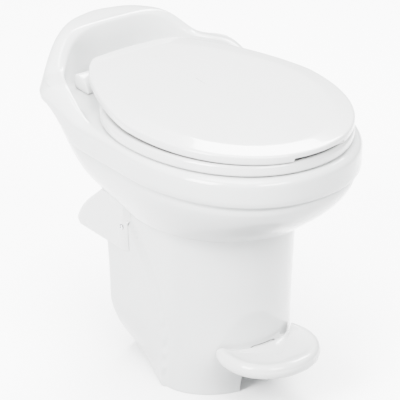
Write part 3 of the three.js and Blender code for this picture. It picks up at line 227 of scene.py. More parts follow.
@dataclass
class Outline:
    """A plan outline, alike left and right: an oval front and an oval or nearly straight rear."""

    half: float
    front: float
    rear: float
    front_at: float = 0.0
    rear_at: float = 0.0
    front_power: float = 2.0
    rear_power: float = 2.0
    rear_half: float = 0.0
    rear_bow: float = 0.0

    def grown(self, by):
        rear_half = self.rear_half + by if self.rear_half else 0.0
        return replace(
            self, half=self.half + by, front=self.front + by, rear=self.rear + by, rear_half=rear_half
        )

    def toward(self, other, part):
        names = self.__dataclass_fields__
        return Outline(*(mix(getattr(self, n), getattr(other, n), part) for n in names))

    def path(self):
        """The right half as many points, from the front to the rear."""
        turn = np.linspace(0, math.pi / 2, 241)
        sine, cosine = np.sin(turn), np.clip(np.cos(turn), 0, 1)
        front = 2 / self.front_power
        rear = 2 / self.rear_power
        x = [self.half * sine**front, self.rear_half + (self.half - self.rear_half) * cosine**rear]
        y = [self.front_at - self.front * cosine**front, self.rear_at + self.rear * sine**rear]
        if self.rear_half:
            part = np.linspace(1, 0, 61)
            x.append(self.rear_half * part)
            y.append(self.rear_at + self.rear + self.rear_bow * (1 - part * part))
        points = np.column_stack([np.concatenate(x), np.concatenate(y)])
        points[0, 0] = points[-1, 0] = 0
        moved = np.abs(np.diff(points, axis=0)).sum(axis=1) > 0
        return points[np.concatenate([[True], moved])]


BAND = Outline(191, 248, 128, 0, 219, 2.2, 1.5)
CREST = Outline(182.5, 239, 296, 0, 0, 2.1, 3.05)
BULGE = Outline(186.5, 241, 332, 0, 0, 2.15, 3.3)
SKIRT = Outline(151, 168.5, 168.5, 7.7, 7.7)
OPENING = Outline(128, 172, 140, -12, -12, 2.1, 2.1)
THROAT = Outline(THROAT_RADIUS, THROAT_RADIUS, THROAT_RADIUS, DRAIN_Y, DRAIN_Y)
FLANGE = THROAT.grown(FLANGE_RADIUS - THROAT_RADIUS)
FOOT_HOLE = Outline(94.8, 87.7, 148.4, COLUMN_AT, COLUMN_AT, 2, 3.5)
SEAT_OUTER = Outline(184.5, 236, 202.6, 0, 0, 2.1, 2)
SEAT_HOLE = Outline(108, 158, 112, -12, -12, 2.1, 2.1)
LID = Outline(182.5, 237, 242, 0, 0, 2.1, 1.42, 75, 6)
PEDAL = Outline(85, 84, 84, -122, -122, 2.1, 2)


def along(points, count, pull=TURN_PULL):
    """count + 1 points on a path, spaced by length and closer together where it turns."""
    steps = np.diff(points, axis=0)
    heading = np.unwrap(np.arctan2(steps[:, 1], steps[:, 0]))
    turn = np.abs(np.diff(heading, prepend=0.0))
    travel = np.concatenate([[0], np.cumsum(np.hypot(steps[:, 0], steps[:, 1]) + pull * turn)])
    goals = np.linspace(0, travel[-1], count + 1)
    return np.column_stack([np.interp(goals, travel, points[:, i]) for i in (0, 1)])


def mirrored(right):
    """The whole outline from its right half."""
    left = right[-2:0:-1] * [-1, 1]
    return np.vstack([right, left])


def at_height(points, height):
    z = height(points[:, 1]) if callable(height) else np.full(len(points), float(height))
    return np.column_stack([points, z])


def ring(shape, height, steps=MIDDLE_STEPS):
    return at_height(mirrored(along(shape.path(), steps)), height)


def facing(points, middle):
    return np.arctan2(points[:, 0], middle - points[:, 1])


BOWL_RAYS = facing(along(BAND.path(), FINE_STEPS), DRAIN_Y)


def ray_ring(shape, height, rays=BOWL_RAYS, middle=DRAIN_Y):
    """The outline where rays from the middle cross it, so that rings of one loft correspond."""
    path = shape.path()
    angles = facing(path, middle)
    right = np.column_stack([np.interp(rays, angles, path[:, i]) for i in (0, 1)])
    return at_height(mirrored(right), height)


def placed(points):
    """Points in the row frame, in metres."""
    return (np.asarray(points, float) + [0, OVAL_Y, 0]) / METRE


def mesh_object(name, points, faces, sharp=38):
    mesh = bpy.data.meshes.new(name)
    mesh.from_pydata(placed(points).tolist(), [], faces)
    mesh.validate()
    obj = bpy.data.objects.new(name, mesh)
    bpy.context.scene.collection.objects.link(obj)
    shade(obj, sharp)
    return obj


def shade(obj, sharp=38):
    """Shades smooth, with edges sharp where the faces meet at more than an angle."""
    obj.data.shade_smooth()
    obj.data.set_sharp_from_angle(angle=math.radians(sharp))
    return obj


def loft(name, rings, closed=False, sharp=38):
    """A solid through rings with equal counts: closed on itself, or with its two ends filled."""
    count = len(rings[0])
    points = np.vstack(rings)
    spans = len(rings) if closed else len(rings) - 1
    faces = []
    for r in range(spans):
        after = (r + 1) % len(rings)
        for i in range(count):
            j = (i + 1) % count
            faces.append((r * count + i, r * count + j, after * count + j, after * count + i))
    if not closed:
        for end, flip in ((0, True), (len(rings) - 1, False)):
            middle = len(points)
            points = np.vstack([points, rings[end].mean(axis=0)])
            for i in range(count):
                pair = (end * count + i, end * count + (i + 1) % count)
                faces.append((*(pair[::-1] if flip else pair), middle))
    if signed_volume(points, faces) < 0:
        faces = [face[::-1] for face in faces]
    return mesh_object(name, points, faces, sharp)


def signed_volume(points, faces):
    total = 0.0
    for face in faces:
        first = points[face[0]]
        for k in range(1, len(face) - 1):
            total += np.dot(first, np.cross(points[face[k]], points[face[k + 1]]))
    return total


def finished(obj):
    """Puts the result of the object's modifiers in its mesh."""
    graph = bpy.context.evaluated_depsgraph_get()
    mesh = bpy.data.meshes.new_from_object(obj.evaluated_get(graph))
    obj.modifiers.clear()
    obj.data = mesh
    return obj


def combined(obj, operation, tools, sharp=38):
    for tool in tools:
        step = obj.modifiers.new(operation, "BOOLEAN")
        step.operation = operation
        step.solver = "EXACT"
        step.object = tool
    bpy.context.view_layer.update()
    finished(obj)
    for tool in tools:
        bpy.data.objects.remove(tool)
    return shade(obj, sharp)


def joined(obj, *tools):
    return combined(obj, "UNION", tools)


def cut(obj, *tools):
    return combined(obj, "DIFFERENCE", tools)


def rounded(obj, width, segments=3, angle=50, sharp=38):
    """Rounds the edges where the faces meet at more than an angle."""
    step = obj.modifiers.new("edges", "BEVEL")
    step.width = width / METRE
    step.segments = segments
    step.limit_method = "ANGLE"
    step.angle_limit = math.radians(angle)
    step.harden_normals = False
    bpy.context.view_layer.update()
    return shade(finished(obj), sharp)


def block(name, x, y, z, edge=0.0):
    corners = [(a, b, c) for a in x for b in y for c in z]
    faces = [(0, 1, 3, 2), (4, 6, 7, 5), (0, 4, 5, 1), (2, 3, 7, 6), (0, 2, 6, 4), (1, 5, 7, 3)]
    obj = mesh_object(name, corners, faces)
    return rounded(obj, edge) if edge else obj


AXES = {"x": (1, 2, 0), "y": (0, 2, 1), "z": (0, 1, 2)}


def turned(name, profile, centre, axis="z", sides=SIDES, closed=True, sharp=38):
    """A solid turned about an axis; the profile is radii and places along the axis."""
    first, second, third = AXES[axis]
    turn = np.linspace(0, 2 * math.pi, sides, endpoint=False)
    rings = []
    for radius, place in profile:
        points = np.zeros((sides, 3))
        points[:, first] = centre[0] + radius * np.cos(turn)
        points[:, second] = centre[1] + radius * np.sin(turn)
        points[:, third] = place
        rings.append(points)
    return loft(name, rings, closed, sharp)


def rod(name, radius, start, end, centre, axis="z", edge=0.5, sides=SIDES):
    """A round bar with rounded ends."""
    turns = [math.pi / 6 * k for k in range(4)]
    low = [(radius - edge + edge * math.sin(t), start + edge * (1 - math.cos(t))) for t in turns]
    high = [(radius - edge + edge * math.sin(t), end - edge * (1 - math.cos(t))) for t in turns[::-1]]
    return turned(name, low + high, centre, axis, sides, closed=False)


def tilted(points):
    """Points of the lid, turned about the hinge by its tilt."""
    y, z = points[:, 1] - HINGE[0], points[:, 2] - HINGE[1]
    sine, cosine = math.sin(LID_TILT), math.cos(LID_TILT)
    return np.column_stack(
        [points[:, 0], HINGE[0] + y * cosine - z * sine, HINGE[1] + y * sine + z * cosine]
    )


# Materials. Colour, roughness and bump vary with noise in the object's own coordinates; the plastics also
# get painted shade in gaps and creases.
def noise(tree, scale, detail=2.0, stretch=None):
    coordinates = tree.nodes.new("ShaderNodeTexCoord")
    texture = tree.nodes.new("ShaderNodeTexNoise")
    texture.inputs["Scale"].default_value = scale
    texture.inputs["Detail"].default_value = detail
    source = coordinates.outputs["Object"]
    if stretch:
        mapping = tree.nodes.new("ShaderNodeMapping")
        mapping.inputs["Scale"].default_value = stretch
        tree.links.new(source, mapping.inputs["Vector"])
        source = mapping.outputs["Vector"]
    tree.links.new(source, texture.inputs["Vector"])
    return texture.outputs["Fac"]


def ramp(tree, factor, low, high, start=0.3, end=0.7):
    colours = tree.nodes.new("ShaderNodeValToRGB")
    colours.color_ramp.elements[0].position = start
    colours.color_ramp.elements[1].position = end
    colours.color_ramp.elements[0].color = (*low, 1)
    colours.color_ramp.elements[1].color = (*high, 1)
    tree.links.new(factor, colours.inputs["Fac"])
    return colours.outputs["Color"]


def spread(tree, factor, low, high):
    values = tree.nodes.new("ShaderNodeMapRange")
    values.inputs["From Min"].default_value = 0.3
    values.inputs["From Max"].default_value = 0.7
    values.inputs["To Min"].default_value = low
    values.inputs["To Max"].default_value = high
    tree.links.new(factor, values.inputs["Value"])
    return values.outputs["Result"]


def painted_gap_shade(tree, colour, reach):
    """Painted shade: the colour is darker where another surface is closer than the reach on nearly all
    sides, as shade falls in gaps and creases.
    """
    shelter = tree.nodes.new("ShaderNodeAmbientOcclusion")
    shelter.samples = 8
    shelter.inputs["Distance"].default_value = reach
    painted_shade_tint = ramp(tree, shelter.outputs["AO"], (0.055, 0.045, 0.04), (1, 1, 1), 0.18, 0.62)
    blend = tree.nodes.new("ShaderNodeMix")
    blend.data_type = "RGBA"
    blend.blend_type = "MULTIPLY"
    blend.inputs["Factor"].default_value = 1.0
    tree.links.new(colour, blend.inputs["A"])
    tree.links.new(painted_shade_tint, blend.inputs["B"])
    return blend.outputs["Result"]


def material(name, tones, rough, grain, bump, metal=0.0, coat=0.0, patches=6.0, stretch=None, reach=0.0):
    """tones: two colours; rough: least and most; grain: the bump's noise scale; bump: its height."""
    made = bpy.data.materials.new(name)
    made.use_nodes = True
    tree = made.node_tree
    shader = tree.nodes["Principled BSDF"]
    shader.inputs["Metallic"].default_value = metal
    shader.inputs["Coat Weight"].default_value = coat
    shader.inputs["Coat Roughness"].default_value = 0.04
    broad = noise(tree, patches, 3.0, stretch)
    colour = ramp(tree, broad, *tones)
    # With a reach, the colour gets painted shade in gaps and creases.
    if reach:
        colour = painted_gap_shade(tree, colour, reach)
    tree.links.new(colour, shader.inputs["Base Color"])
    fine = noise(tree, grain, 2.0, stretch)
    tree.links.new(spread(tree, noise(tree, patches * 3, 4.0, stretch), *rough), shader.inputs["Roughness"])
    lift = tree.nodes.new("ShaderNodeBump")
    lift.inputs["Strength"].default_value = 1.0
    lift.inputs["Distance"].default_value = bump
    tree.links.new(fine, lift.inputs["Height"])
    tree.links.new(lift.outputs["Normal"], shader.inputs["Normal"])
    return made


CHINA = material("china", ((0.675, 0.69, 0.685), (0.70, 0.71, 0.705)), (0.10, 0.16), 55, 0.00012, coat=0.5)
# The white and hood plastics carry painted shade in gaps closer than their reach.
PLASTIC = material(
    "white_plastic", ((0.69, 0.695, 0.69), (0.71, 0.715, 0.71)), (0.15, 0.22), 380, 0.00002,
    coat=0.7, reach=0.014,
)
HOOD = material(
    "hood_plastic", ((0.78, 0.785, 0.78), (0.8, 0.805, 0.8)), (0.22, 0.3), 380, 0.00002,
    coat=0.4, reach=0.012,
)
DARK = material("dark_plastic", ((0.035, 0.038, 0.042), (0.05, 0.053, 0.057)), (0.42, 0.58), 900, 0.00005)
GEAR = material("gear_plastic", ((0.62, 0.60, 0.54), (0.68, 0.66, 0.60)), (0.38, 0.5), 700, 0.00003)
BALL = material("ball_plastic", ((0.74, 0.73, 0.69), (0.79, 0.78, 0.75)), (0.2, 0.3), 500, 0.00002)
RUBBER = material("rubber", ((0.016, 0.016, 0.018), (0.03, 0.03, 0.032)), (0.7, 0.85), 1200, 0.00006)
STEEL = material(
    "steel", ((0.46, 0.47, 0.49), (0.58, 0.59, 0.61)), (0.24, 0.36), 500, 0.00001, 1.0, stretch=(1, 1, 14)
)
BRASS = material("brass", ((0.55, 0.38, 0.13), (0.66, 0.48, 0.2)), (0.26, 0.4), 420, 0.00001, 1.0)
HOSE = material("hose", ((0.24, 0.26, 0.28), (0.31, 0.33, 0.35)), (0.4, 0.55), 260, 0.00008)
SLOTS = {
    "china": CHINA,
    "white_plastic": PLASTIC,
    "dark_plastic": DARK,
    "gear_plastic": GEAR,
    "ball_plastic": BALL,
    "rubber": RUBBER,
    "steel": STEEL,
    "brass": BRASS,
    "hose": HOSE,
}


def piece(obj, body, slot, *replaced):
    obj.data.materials.clear()
    obj.data.materials.append(SLOTS[slot])
    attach(obj, body)
    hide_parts(*replaced)
    return obj


# Bowl: one china skin, from the foot up over the band and the crest, down the pocket and the
# basin to the throat, and back through the hollow behind.
def bulge_ring(share, inset=0.0, lift=0.0):
    shape = SKIRT.toward(BULGE, math.sin(share * math.pi / 2)).grown(-inset)
    return ray_ring(shape, lambda y: mix(SKIRT_HEIGHT, band_crease(y), share) + lift)


def basin_ring(turn, growth=0.0):
    shape = OPENING.grown(UNDER_RIM_STEP).toward(THROAT, 1 - math.cos(turn)).grown(growth)
    top = RIM_HEIGHT - RIM_DROP - UNDER_RIM_FALL
    return ray_ring(shape, mix(top, BASIN_BOTTOM, math.sin(turn)) - growth)


def blended(first, second, part, lift=0.0):
    return mix(first, second, part) + [0, 0, lift]


def band_rings():
    """The crease's lip and the band's wall, up to where it starts to roll over."""
    crease_edge = [(7.0, 0.0), (4.4, 0.3), (2.2, 1.4), (0.9, 3.4)]
    rows = [ray_ring(BAND.grown(-i), lambda y, l=l: band_crease(y) + l) for i, l in crease_edge]
    for part in (0.25, 0.5, 0.75, 1):
        rows.append(ray_ring(BAND.grown(-0.4 * (1 - part)), lambda y, p=part: roll_start(y, p)))
    return rows


def roll_start(y, part=1.0):
    grow = np.clip((crest(y) - RIM_HEIGHT) / CREST_SIDE_RISE[0], 0, 1)
    foot = band_crease(y) + 5
    return mix(foot, np.maximum(band_top(y) - mix(ROLL_FRONT, ROLL_REAR, grow), foot + 1.5), part)


def rolled(wall, ridge):
    """From the band's wall over a rounded shoulder to the ridge."""
    along_side = wall[:, 1]
    start, end, over = ROLL_SAG
    sag = smooth((along_side - start) / over) * (1 - smooth((along_side - end) / over))
    slack = ROLL_SLACK[0] + (ROLL_SLACK[1] - ROLL_SLACK[0]) * sag
    rows = []
    for turn in np.radians((10, 20, 30, 40, 50, 60, 70, 80)):
        inward, upward = np.full(len(wall), 1 - math.cos(turn)), math.sin(turn) ** slack
        rows.append(wall + (ridge - wall) * np.column_stack([inward, inward, upward]))
    return rows


def crest_rings():
    """The rounded ridge round the pocket, which fades out towards the front of the rim."""
    depth = lambda y: crest(y) - RIM_HEIGHT
    grow = lambda y: np.clip(depth(y) / CREST_SIDE_RISE[0], 0, 1)
    inner = ray_ring(CREST.grown(-CREST_ROUND - 1.0), RIM_HEIGHT)
    rows = []
    for inset, lift in ((-6, -0.9), (-3.6, -0.2), (-1.2, 0.15), (1.0, 0.15), (2.6, -0.4), (3.6, -1.6)):
        row = ray_ring(CREST.grown(-CREST_ROUND - inset), RIM_HEIGHT)
        if inset < 1:
            row = mix(inner, row, 0.05 + 0.95 * grow(inner[:, 1])[:, None])
        rows.append(at_height(row[:, :2], lambda y, l=lift: crest(y) + l * grow(y)))
    for inset, part in ((3.9, 0.9), (4.6, 0.7), (5.6, 0.45), (6.9, 0.25)):
        shape = CREST.grown(-CREST_ROUND - inset)
        rows.append(ray_ring(shape, lambda y, p=part: RIM_HEIGHT + depth(y) * p))
    for inset, lift in ((8.4, 6.6), (10.6, 3.4), (13.6, 1.3), (17.5, 0.3), (22.0, 0.0)):
        rows.append(
            ray_ring(
                CREST.grown(-CREST_ROUND - inset),
                lambda y, l=lift: RIM_HEIGHT + np.minimum(l * np.clip(depth(y) / 30, 0, 1), depth(y)),
            )
        )
    return rows


def opening_rings():
    edge = [(4, 0), (2.7, 0.25), (1.5, 0.9), (0.6, 2.0), (0, 4.0), (0, 16), (0, 28), (0.6, 30)]
    rows = [ray_ring(OPENING.grown(growth), RIM_HEIGHT - drop) for growth, drop in edge]
    rows.append(ray_ring(OPENING.grown(2.0), RIM_HEIGHT - RIM_DROP - 1))
    rows.append(ray_ring(OPENING.grown(UNDER_RIM_STEP - 2), RIM_HEIGHT - RIM_DROP - 4))
    return rows


def throat_rings():
    outer = THROAT.grown(THROAT_WALL)
    rows = [ray_ring(THROAT.grown(g), BASIN_BOTTOM - d) for g, d in ((3, 0.6), (1.2, 2), (0.3, 4), (0, 7))]
    rows += [ray_ring(THROAT, THROAT_BOTTOM + 0.8), ray_ring(THROAT.grown(0.8), THROAT_BOTTOM)]
    rows += [ray_ring(FLANGE.grown(-1), THROAT_BOTTOM), ray_ring(FLANGE, THROAT_BOTTOM + 1)]
    top = THROAT_BOTTOM + FLANGE_THICKNESS
    rows += [ray_ring(FLANGE, top - 1), ray_ring(FLANGE.grown(-1), top)]
    rows += [ray_ring(outer.grown(3), top), ray_ring(outer, top + 3), ray_ring(outer, BASIN_BOTTOM - 12)]
    return rows


def radii(points):
    return np.hypot(points[:, 0], points[:, 1] - DRAIN_Y)


def at_radii(points, wanted):
    """The same rays at other distances from the drain's axis."""
    centre = np.array([0, DRAIN_Y])
    return centre + (points[:, :2] - centre) * (wanted / radii(points))[:, None]


def hollow_rings():
    """Back of the basin, underside of the rim, and the room inside the raised back."""
    rows = [basin_ring(turn, CHINA_WALL) for turn in (1.15, 0.95, 0.75, 0.55, 0.35, 0.18)]
    under = OPENING.grown(UNDER_RIM_STEP + CHINA_WALL)
    rows += [ray_ring(under, RIM_UNDERSIDE - 6), ray_ring(under.grown(4), RIM_UNDERSIDE)]
    wall = ray_ring(BAND.grown(-13), RIM_UNDERSIDE)
    behind = ray_ring(CREST.grown(CREST_ROUND), RIM_UNDERSIDE)
    outer = radii(wall)
    inner = np.minimum(radii(behind), outer - 1.5)
    room = smooth((outer - inner - 6) / HOLLOW_FEATHER)
    sides = smooth((BACK_HOLLOW_HALF + HOLLOW_FEATHER - np.abs(wall[:, 0])) / HOLLOW_FEATHER)
    top = RIM_UNDERSIDE + room * mix(SIDE_HOLLOW, BACK_HOLLOW_TOP - RIM_UNDERSIDE, sides)
    for wanted, height in ((inner, 0 * top + RIM_UNDERSIDE), (inner, top), (outer, top)):
        rows.append(np.column_stack([at_radii(wall, wanted), height]))
    rows += [bulge_ring(share, CHINA_WALL) for share in (1, 0.8, 0.6, 0.42, 0.25, 0.1)]
    rows += [ray_ring(SKIRT.grown(-12), FOOT_HEIGHT + 9), ray_ring(FOOT_HOLE, FOOT_HEIGHT + 8)]
    rows += [ray_ring(FOOT_HOLE, FOOT_HEIGHT + 1), ray_ring(FOOT_HOLE.grown(1), FOOT_HEIGHT)]
    return rows


def make_bowl():
    skirt = [(10.0, -4.0), (6.0, -3.5), (3.2, -2.5), (1.2, -1.2)]
    rows = [ray_ring(SKIRT.grown(-i), SKIRT_HEIGHT + l) for i, l in skirt]
    shares = (0, 0.04, 0.09, 0.15, 0.22, 0.3, 0.39, 0.49, 0.6, 0.7, 0.8, 0.88, 0.94, 0.98, 1)
    rows += [bulge_ring(share, 3.5 * smooth((share - 0.86) / 0.14)) for share in shares]
    band = band_rings()
    ridge = crest_rings()
    rows += band
    rows += rolled(band[-1], ridge[0])
    rows += ridge
    edge = opening_rings()
    rows += [blended(ridge[-1], edge[0], part) for part in (0.33, 0.67)]
    rows += edge
    rows += [basin_ring(math.pi / 2 * k / 16) for k in range(17)]
    rows += throat_rings()
    rows += hollow_rings()
    return loft("bowl", rows, closed=True, sharp=44)


# Pedestal: the column, its flanks a step prouder behind a crease, and the heel.
def column_points(height, inset, steps):
    part = smooth(height / APRON_HEIGHT)
    flare = PEDESTAL_FLARE * smooth((height - PEDESTAL_FLARE_FROM) / (PEDESTAL_TOP - PEDESTAL_FLARE_FROM))
    front = mix(FOOT_FRONT, COLUMN_FRONT, part) + flare - inset
    half = mix(FOOT_HALF, COLUMN_HALF, part) + flare - inset
    corner = max(PEDESTAL_CORNER - inset, 0.5)
    rear = PEDESTAL_REAR - inset - corner
    shape = Outline(half, front, corner, mix(FOOT_AT, COLUMN_AT, part), rear, rear_half=half - corner)
    points = mirrored(along(shape.path(), steps, 12.0))
    crease = PEDESTAL_REAR * CREASE_REACH * (height / FOOT_HEIGHT) ** CREASE_POWER
    proud = FLANK_STEP * smooth((points[:, 1] - crease) / FLANK_BLEND + 0.5)
    drawn = HEEL_TAPER * max(1 - height / HEEL_HEIGHT, 0) ** HEEL_POWER
    heel = drawn * np.clip(points[:, 1] / PEDESTAL_REAR, 0, 1)
    points[:, 0] *= 1 + (proud - heel) / COLUMN_HALF
    return points


def column_ring(height, inset=0.0, steps=FINE_STEPS, at=None):
    return at_height(column_points(height, inset, steps), height if at is None else at)


def make_pedestal():
    heights = np.concatenate([np.linspace(1.5, 90, 22), np.linspace(96, PEDESTAL_TOP - 1.5, 30)])
    rows = [column_ring(0, 1.2, at=0), column_ring(0, 0.35, at=0.45)]
    rows += [column_ring(height) for height in heights]
    rows += [column_ring(PEDESTAL_TOP, 0.35, at=PEDESTAL_TOP - 0.45), column_ring(PEDESTAL_TOP, 1.2)]
    inner = [column_ring(height, CHINA_WALL) for height in np.linspace(PEDESTAL_TOP, 0, 14)]
    shell = loft("pedestal", rows + inner, closed=True)
    web_rings = [column_ring(z, CHINA_WALL / 2, 40, at=z) for z in WEB["z"]]
    web = loft("web", web_rings)
    limit = block("limit", WEB["x"], WEB["y"], WEB_CUT)
    web = combined(web, "INTERSECT", [limit])
    bosses = [rod("boss", BOSS_RADIUS, *span(side, *BOSS), PEDAL_PIVOT, "x", 0.8) for side in (-1, 1)]
    shell = joined(shell, web, *bosses)
    half = (-DOORWAY_HALF, DOORWAY_HALF)
    doorway = block("doorway", half, DOORWAY_RUN, (DOORWAY_FROM, APRON_HEIGHT), DOORWAY_CORNER)
    bores = [rod("bore", BORE_RADIUS, *span(side, *BORE), PEDAL_PIVOT, "x", 0.3) for side in (-1, 1)]
    outlet = rod("outlet", OUTLET_RADIUS, *WEB_CUT, (0, DRAIN_Y))
    bolts = [rod("bolt", BOLT_HOLE_RADIUS, *WEB_CUT, (side * BOLT_SIDE, DRAIN_Y)) for side in (-1, 1)]
    nipple = rod("nipple", NIPPLE_RADIUS, *NIPPLE, (NIPPLE_X, BALL_HEIGHT), "y")
    recess = rod("recess", RECESS_RADIUS, *RECESS, (NIPPLE_X, BALL_HEIGHT), "y")
    return cut(shell, doorway, *bores, outlet, *bolts, nipple, recess)


# Rear cover: a hood in a C section round the back of the pedestal.
def cover_ring(reach, height, bend=0.0, close=False):
    outer = Outline(
        COVER_HALF - bend, COVER_HALF, COVER_CORNER, COVER_FRONT,
        reach - COVER_CORNER - bend, rear_half=COVER_HALF - COVER_CORNER - bend,
    )
    corner = COVER_CORNER - COVER_WALL
    half, back = COVER_HALF - COVER_WALL, reach - COVER_WALL
    inner = Outline(half, half, corner, COVER_FRONT, back - corner, rear_half=half - corner)
    column = column_points(height, -COVER_GAP / 2, 400)[:401]
    wall = np.interp(COVER_FRONT, column[200:360, 1], column[200:360, 0])
    sections = []
    for path, hug in zip((outer.path(), column if close else inner.path()), COVER_HUG):
        path = path[path[:, 1] >= COVER_FRONT - 1e-6]
        section = along(path, 46, 10.0)
        near = 1 - smooth((section[:, 1] - COVER_FRONT) / COVER_FEATHER)
        section[:, 0] += (wall + hug - section[:, 0]) * near
        sections.append(section)
    outer_right, inner_right = sections
    left = outer_right[::-1] * [-1, 1]
    inner_left = inner_right * [-1, 1]
    loop = np.vstack([outer_right, left[1:], inner_left, inner_right[::-1][1:]])
    return at_height(loop, height)


def make_cover():
    depth = COVER_REAR - COVER_FRONT
    height = COVER_TOP - COVER_BOTTOM
    shares = [(0.96, 0), (1, 0.07), (0.97, 0.22), (0.84, 0.51), (0.59, 0.87), (0.5, 1)]
    places = np.array([(COVER_FRONT + depth * r, COVER_BOTTOM + height * h) for r, h in shares])
    levels = np.concatenate([COVER_LOW, np.linspace(*COVER_BETWEEN)])
    rows = [cover_ring(curve(places, z), z) for z in levels]
    for z in COVER_HIGH:
        rows.append(cover_ring(curve(places, z), z, close=True))
    rows.append(cover_ring(curve(places, COVER_TOP), COVER_TOP, 0.6, close=True))
    cover = rounded(loft("rear_cover", rows), 0.9, 2, 60)
    holes = [
        rod("hole", SCREW_HOLE_RADIUS, *span(side, *SCREW_HOLE), COVER_SCREW, "x", 0.1)
        for side in (-1, 1)
    ]
    return cut(cover, *holes)


def curve(places, z):
    """Reach at a height, on a smooth curve through the cover's profile."""
    reach, heights = places[:, 0], places[:, 1]
    k = int(np.clip(np.searchsorted(heights, z, side="right") - 1, 0, len(places) - 2))
    t = (z - heights[k]) / (heights[k + 1] - heights[k])
    slopes = np.gradient(reach, heights)
    gap = heights[k + 1] - heights[k]
    a = reach[k] * (1 + 2 * t) * (1 - t) ** 2 + slopes[k] * gap * t * (1 - t) ** 2
    b = reach[k + 1] * t * t * (3 - 2 * t) + slopes[k + 1] * gap * t * t * (t - 1)
    return a + b


def make_cover_screw(side):
    seat = COVER_HALF + 0.3
    profile = [(2.2, COVER_HALF - 9), (2.2, seat), (4.1, seat), (4.5, seat + 0.4), (4.5, seat + 1.0)]
    profile += [(4.1, seat + 1.9), (3.0, seat + 2.6), (1.4, seat + 2.95)]
    screw = turned(
        "rear_cover_screw", [(r, side * x) for r, x in profile], COVER_SCREW, "x", 36, closed=False
    )
    depth = span(side, seat + 1.2, seat + 4)
    y, z = COVER_SCREW
    long, short = SCREW_SLOT[0] / 2, SCREW_SLOT[1] / 2
    slots = [
        block("slot", depth, (y - a, y + a), (z - b, z + b)) for a, b in ((long, short), (short, long))
    ]
    return cut(screw, *slots)


# Seat and lid.
def knuckle(name, x, side, radius=KNUCKLE_RADIUS):
    return rod(name, radius, *span(side, *x), HINGE, "x", 0.8)


def pin_bore():
    return rod("pin", HINGE_PIN_RADIUS + PIN_CLEARANCE, -PIN_REACH, PIN_REACH, HINGE, "x")


def make_seat():
    """Each pair in the tables is the outline's growth and the height above the seat's bottom."""
    outer = [
        (-9, 0.0), (-4.5, 0.0), (-2.2, 0.4), (-0.8, 1.4), (-0.1, 3.0), (0, 5.0), (0, 8.5), (-0.15, 10.6),
        (-0.7, 12.4), (-1.9, 14.1), (-3.6, 15.5), (-5.9, 16.4), (-8.8, 16.9), (-13, 17.1), (-22, 17.2),
    ]
    inner = [
        (24, 17.1), (17, 16.6), (12, 15.7), (8, 14.4), (4.8, 12.6), (2.4, 10.2), (0.8, 7.4), (0.1, 5.0),
        (0.2, 2.6), (1.0, 1.0), (2.6, 0.2), (5, 0.0), (12, 0.0),
    ]
    rows = []
    for growth, rise in outer:
        height = SEAT_BOTTOM + rise - SEAT_HANG * (1 - smooth(rise / 6))
        rows.append(ring(SEAT_OUTER.grown(growth), height, FINE_STEPS))
    rows += [ring(SEAT_HOLE.grown(g), SEAT_BOTTOM + l, FINE_STEPS) for g, l in inner]
    seat = loft("seat", rows, closed=True)
    tools = []
    for side in (-1, 1):
        front, thick = ARM
        across = span(side, *SEAT_KNUCKLE)
        arm = block("arm", across, (front, HINGE[0]), (HINGE[1] - thick, HINGE[1]), 1.6)
        tools += [arm, knuckle("barrel", SEAT_KNUCKLE, side)]
    seat = joined(seat, *tools)
    return cut(seat, pin_bore())


def lid_ring(growth, rise):
    """A row of the lid: its lip hangs a little lower, and its top is thicker towards the hinge."""
    reach, height = LID_LIP
    hang = 1 - smooth(rise / height) if growth > reach else 0.0
    start, over = LID_THICKER_RISE
    thick = LID_THICKER * smooth((rise - start) / over)
    row = ring(LID.grown(growth), LID_BOTTOM + rise)
    start, over = LID_HANG_RUN
    row[:, 2] -= hang * mix(*LID_HANG, smooth((start - row[:, 1]) / over))
    start, over = LID_THICKER_RUN
    row[:, 2] += thick * smooth((row[:, 1] - start) / over)
    return row


def make_lid():
    """Each pair in the table is the outline's growth and the height above the lid's bottom."""
    rows = [ring(LID.grown(-70), LID_BOTTOM + LID_HOLLOW)]
    edge = [
        (-40, 6.0), (-27, 6.0), (-24.6, 5.7), (-22.6, 4.6), (-20.5, 2.6), (-18, 0.9), (-15, 0.15),
        (-12, 0.0), (-4.0, 0.0), (-1.8, 0.35), (-0.6, 1.2), (0, 2.6), (0, 5.2), (0, 7.6), (-0.25, 9.2),
        (-0.9, 10.6), (-2.1, 11.5), (-4.0, 12.1), (-6.5, 12.6), (-9.5, 13.05), (-16, 14.0),
        (-24, 15.15), (-29, 15.85), (-31.5, 16.1), (-34, 16.25), (-42, 16.45), (-50, 16.6),
        (-60, 16.8), (-70, 17.0), (-78, 17.1),
    ]
    rows += [lid_ring(g, l) for g, l in edge]
    last = rows[-1]
    middle = last.mean(axis=0)
    for scale, lift in ((0.8, 0.35), (0.55, 0.65), (0.3, 0.85), (0.12, 0.9)):
        rows.append(middle + (last - middle) * scale + [0, 0, lift])
    lid = loft("lid", [tilted(row) for row in rows])
    tools = []
    for side in (-1, 1):
        half, top = LID_WEB
        across = span(side, *LID_KNUCKLE)
        web = block("web", across, (HINGE[0] - half, HINGE[0] + half), (HINGE[1], LID_BOTTOM + top), 1.2)
        tools += [web, knuckle("barrel", LID_KNUCKLE, side)]
    lid = joined(lid, *tools)
    low, high = FINGER_SLOT["z"]
    heights = (LID_BOTTOM + low, LID_BOTTOM + high)
    notch = block("notch", FINGER_SLOT["x"], FINGER_SLOT["y"], heights, 2.2)
    return cut(lid, notch, pin_bore())


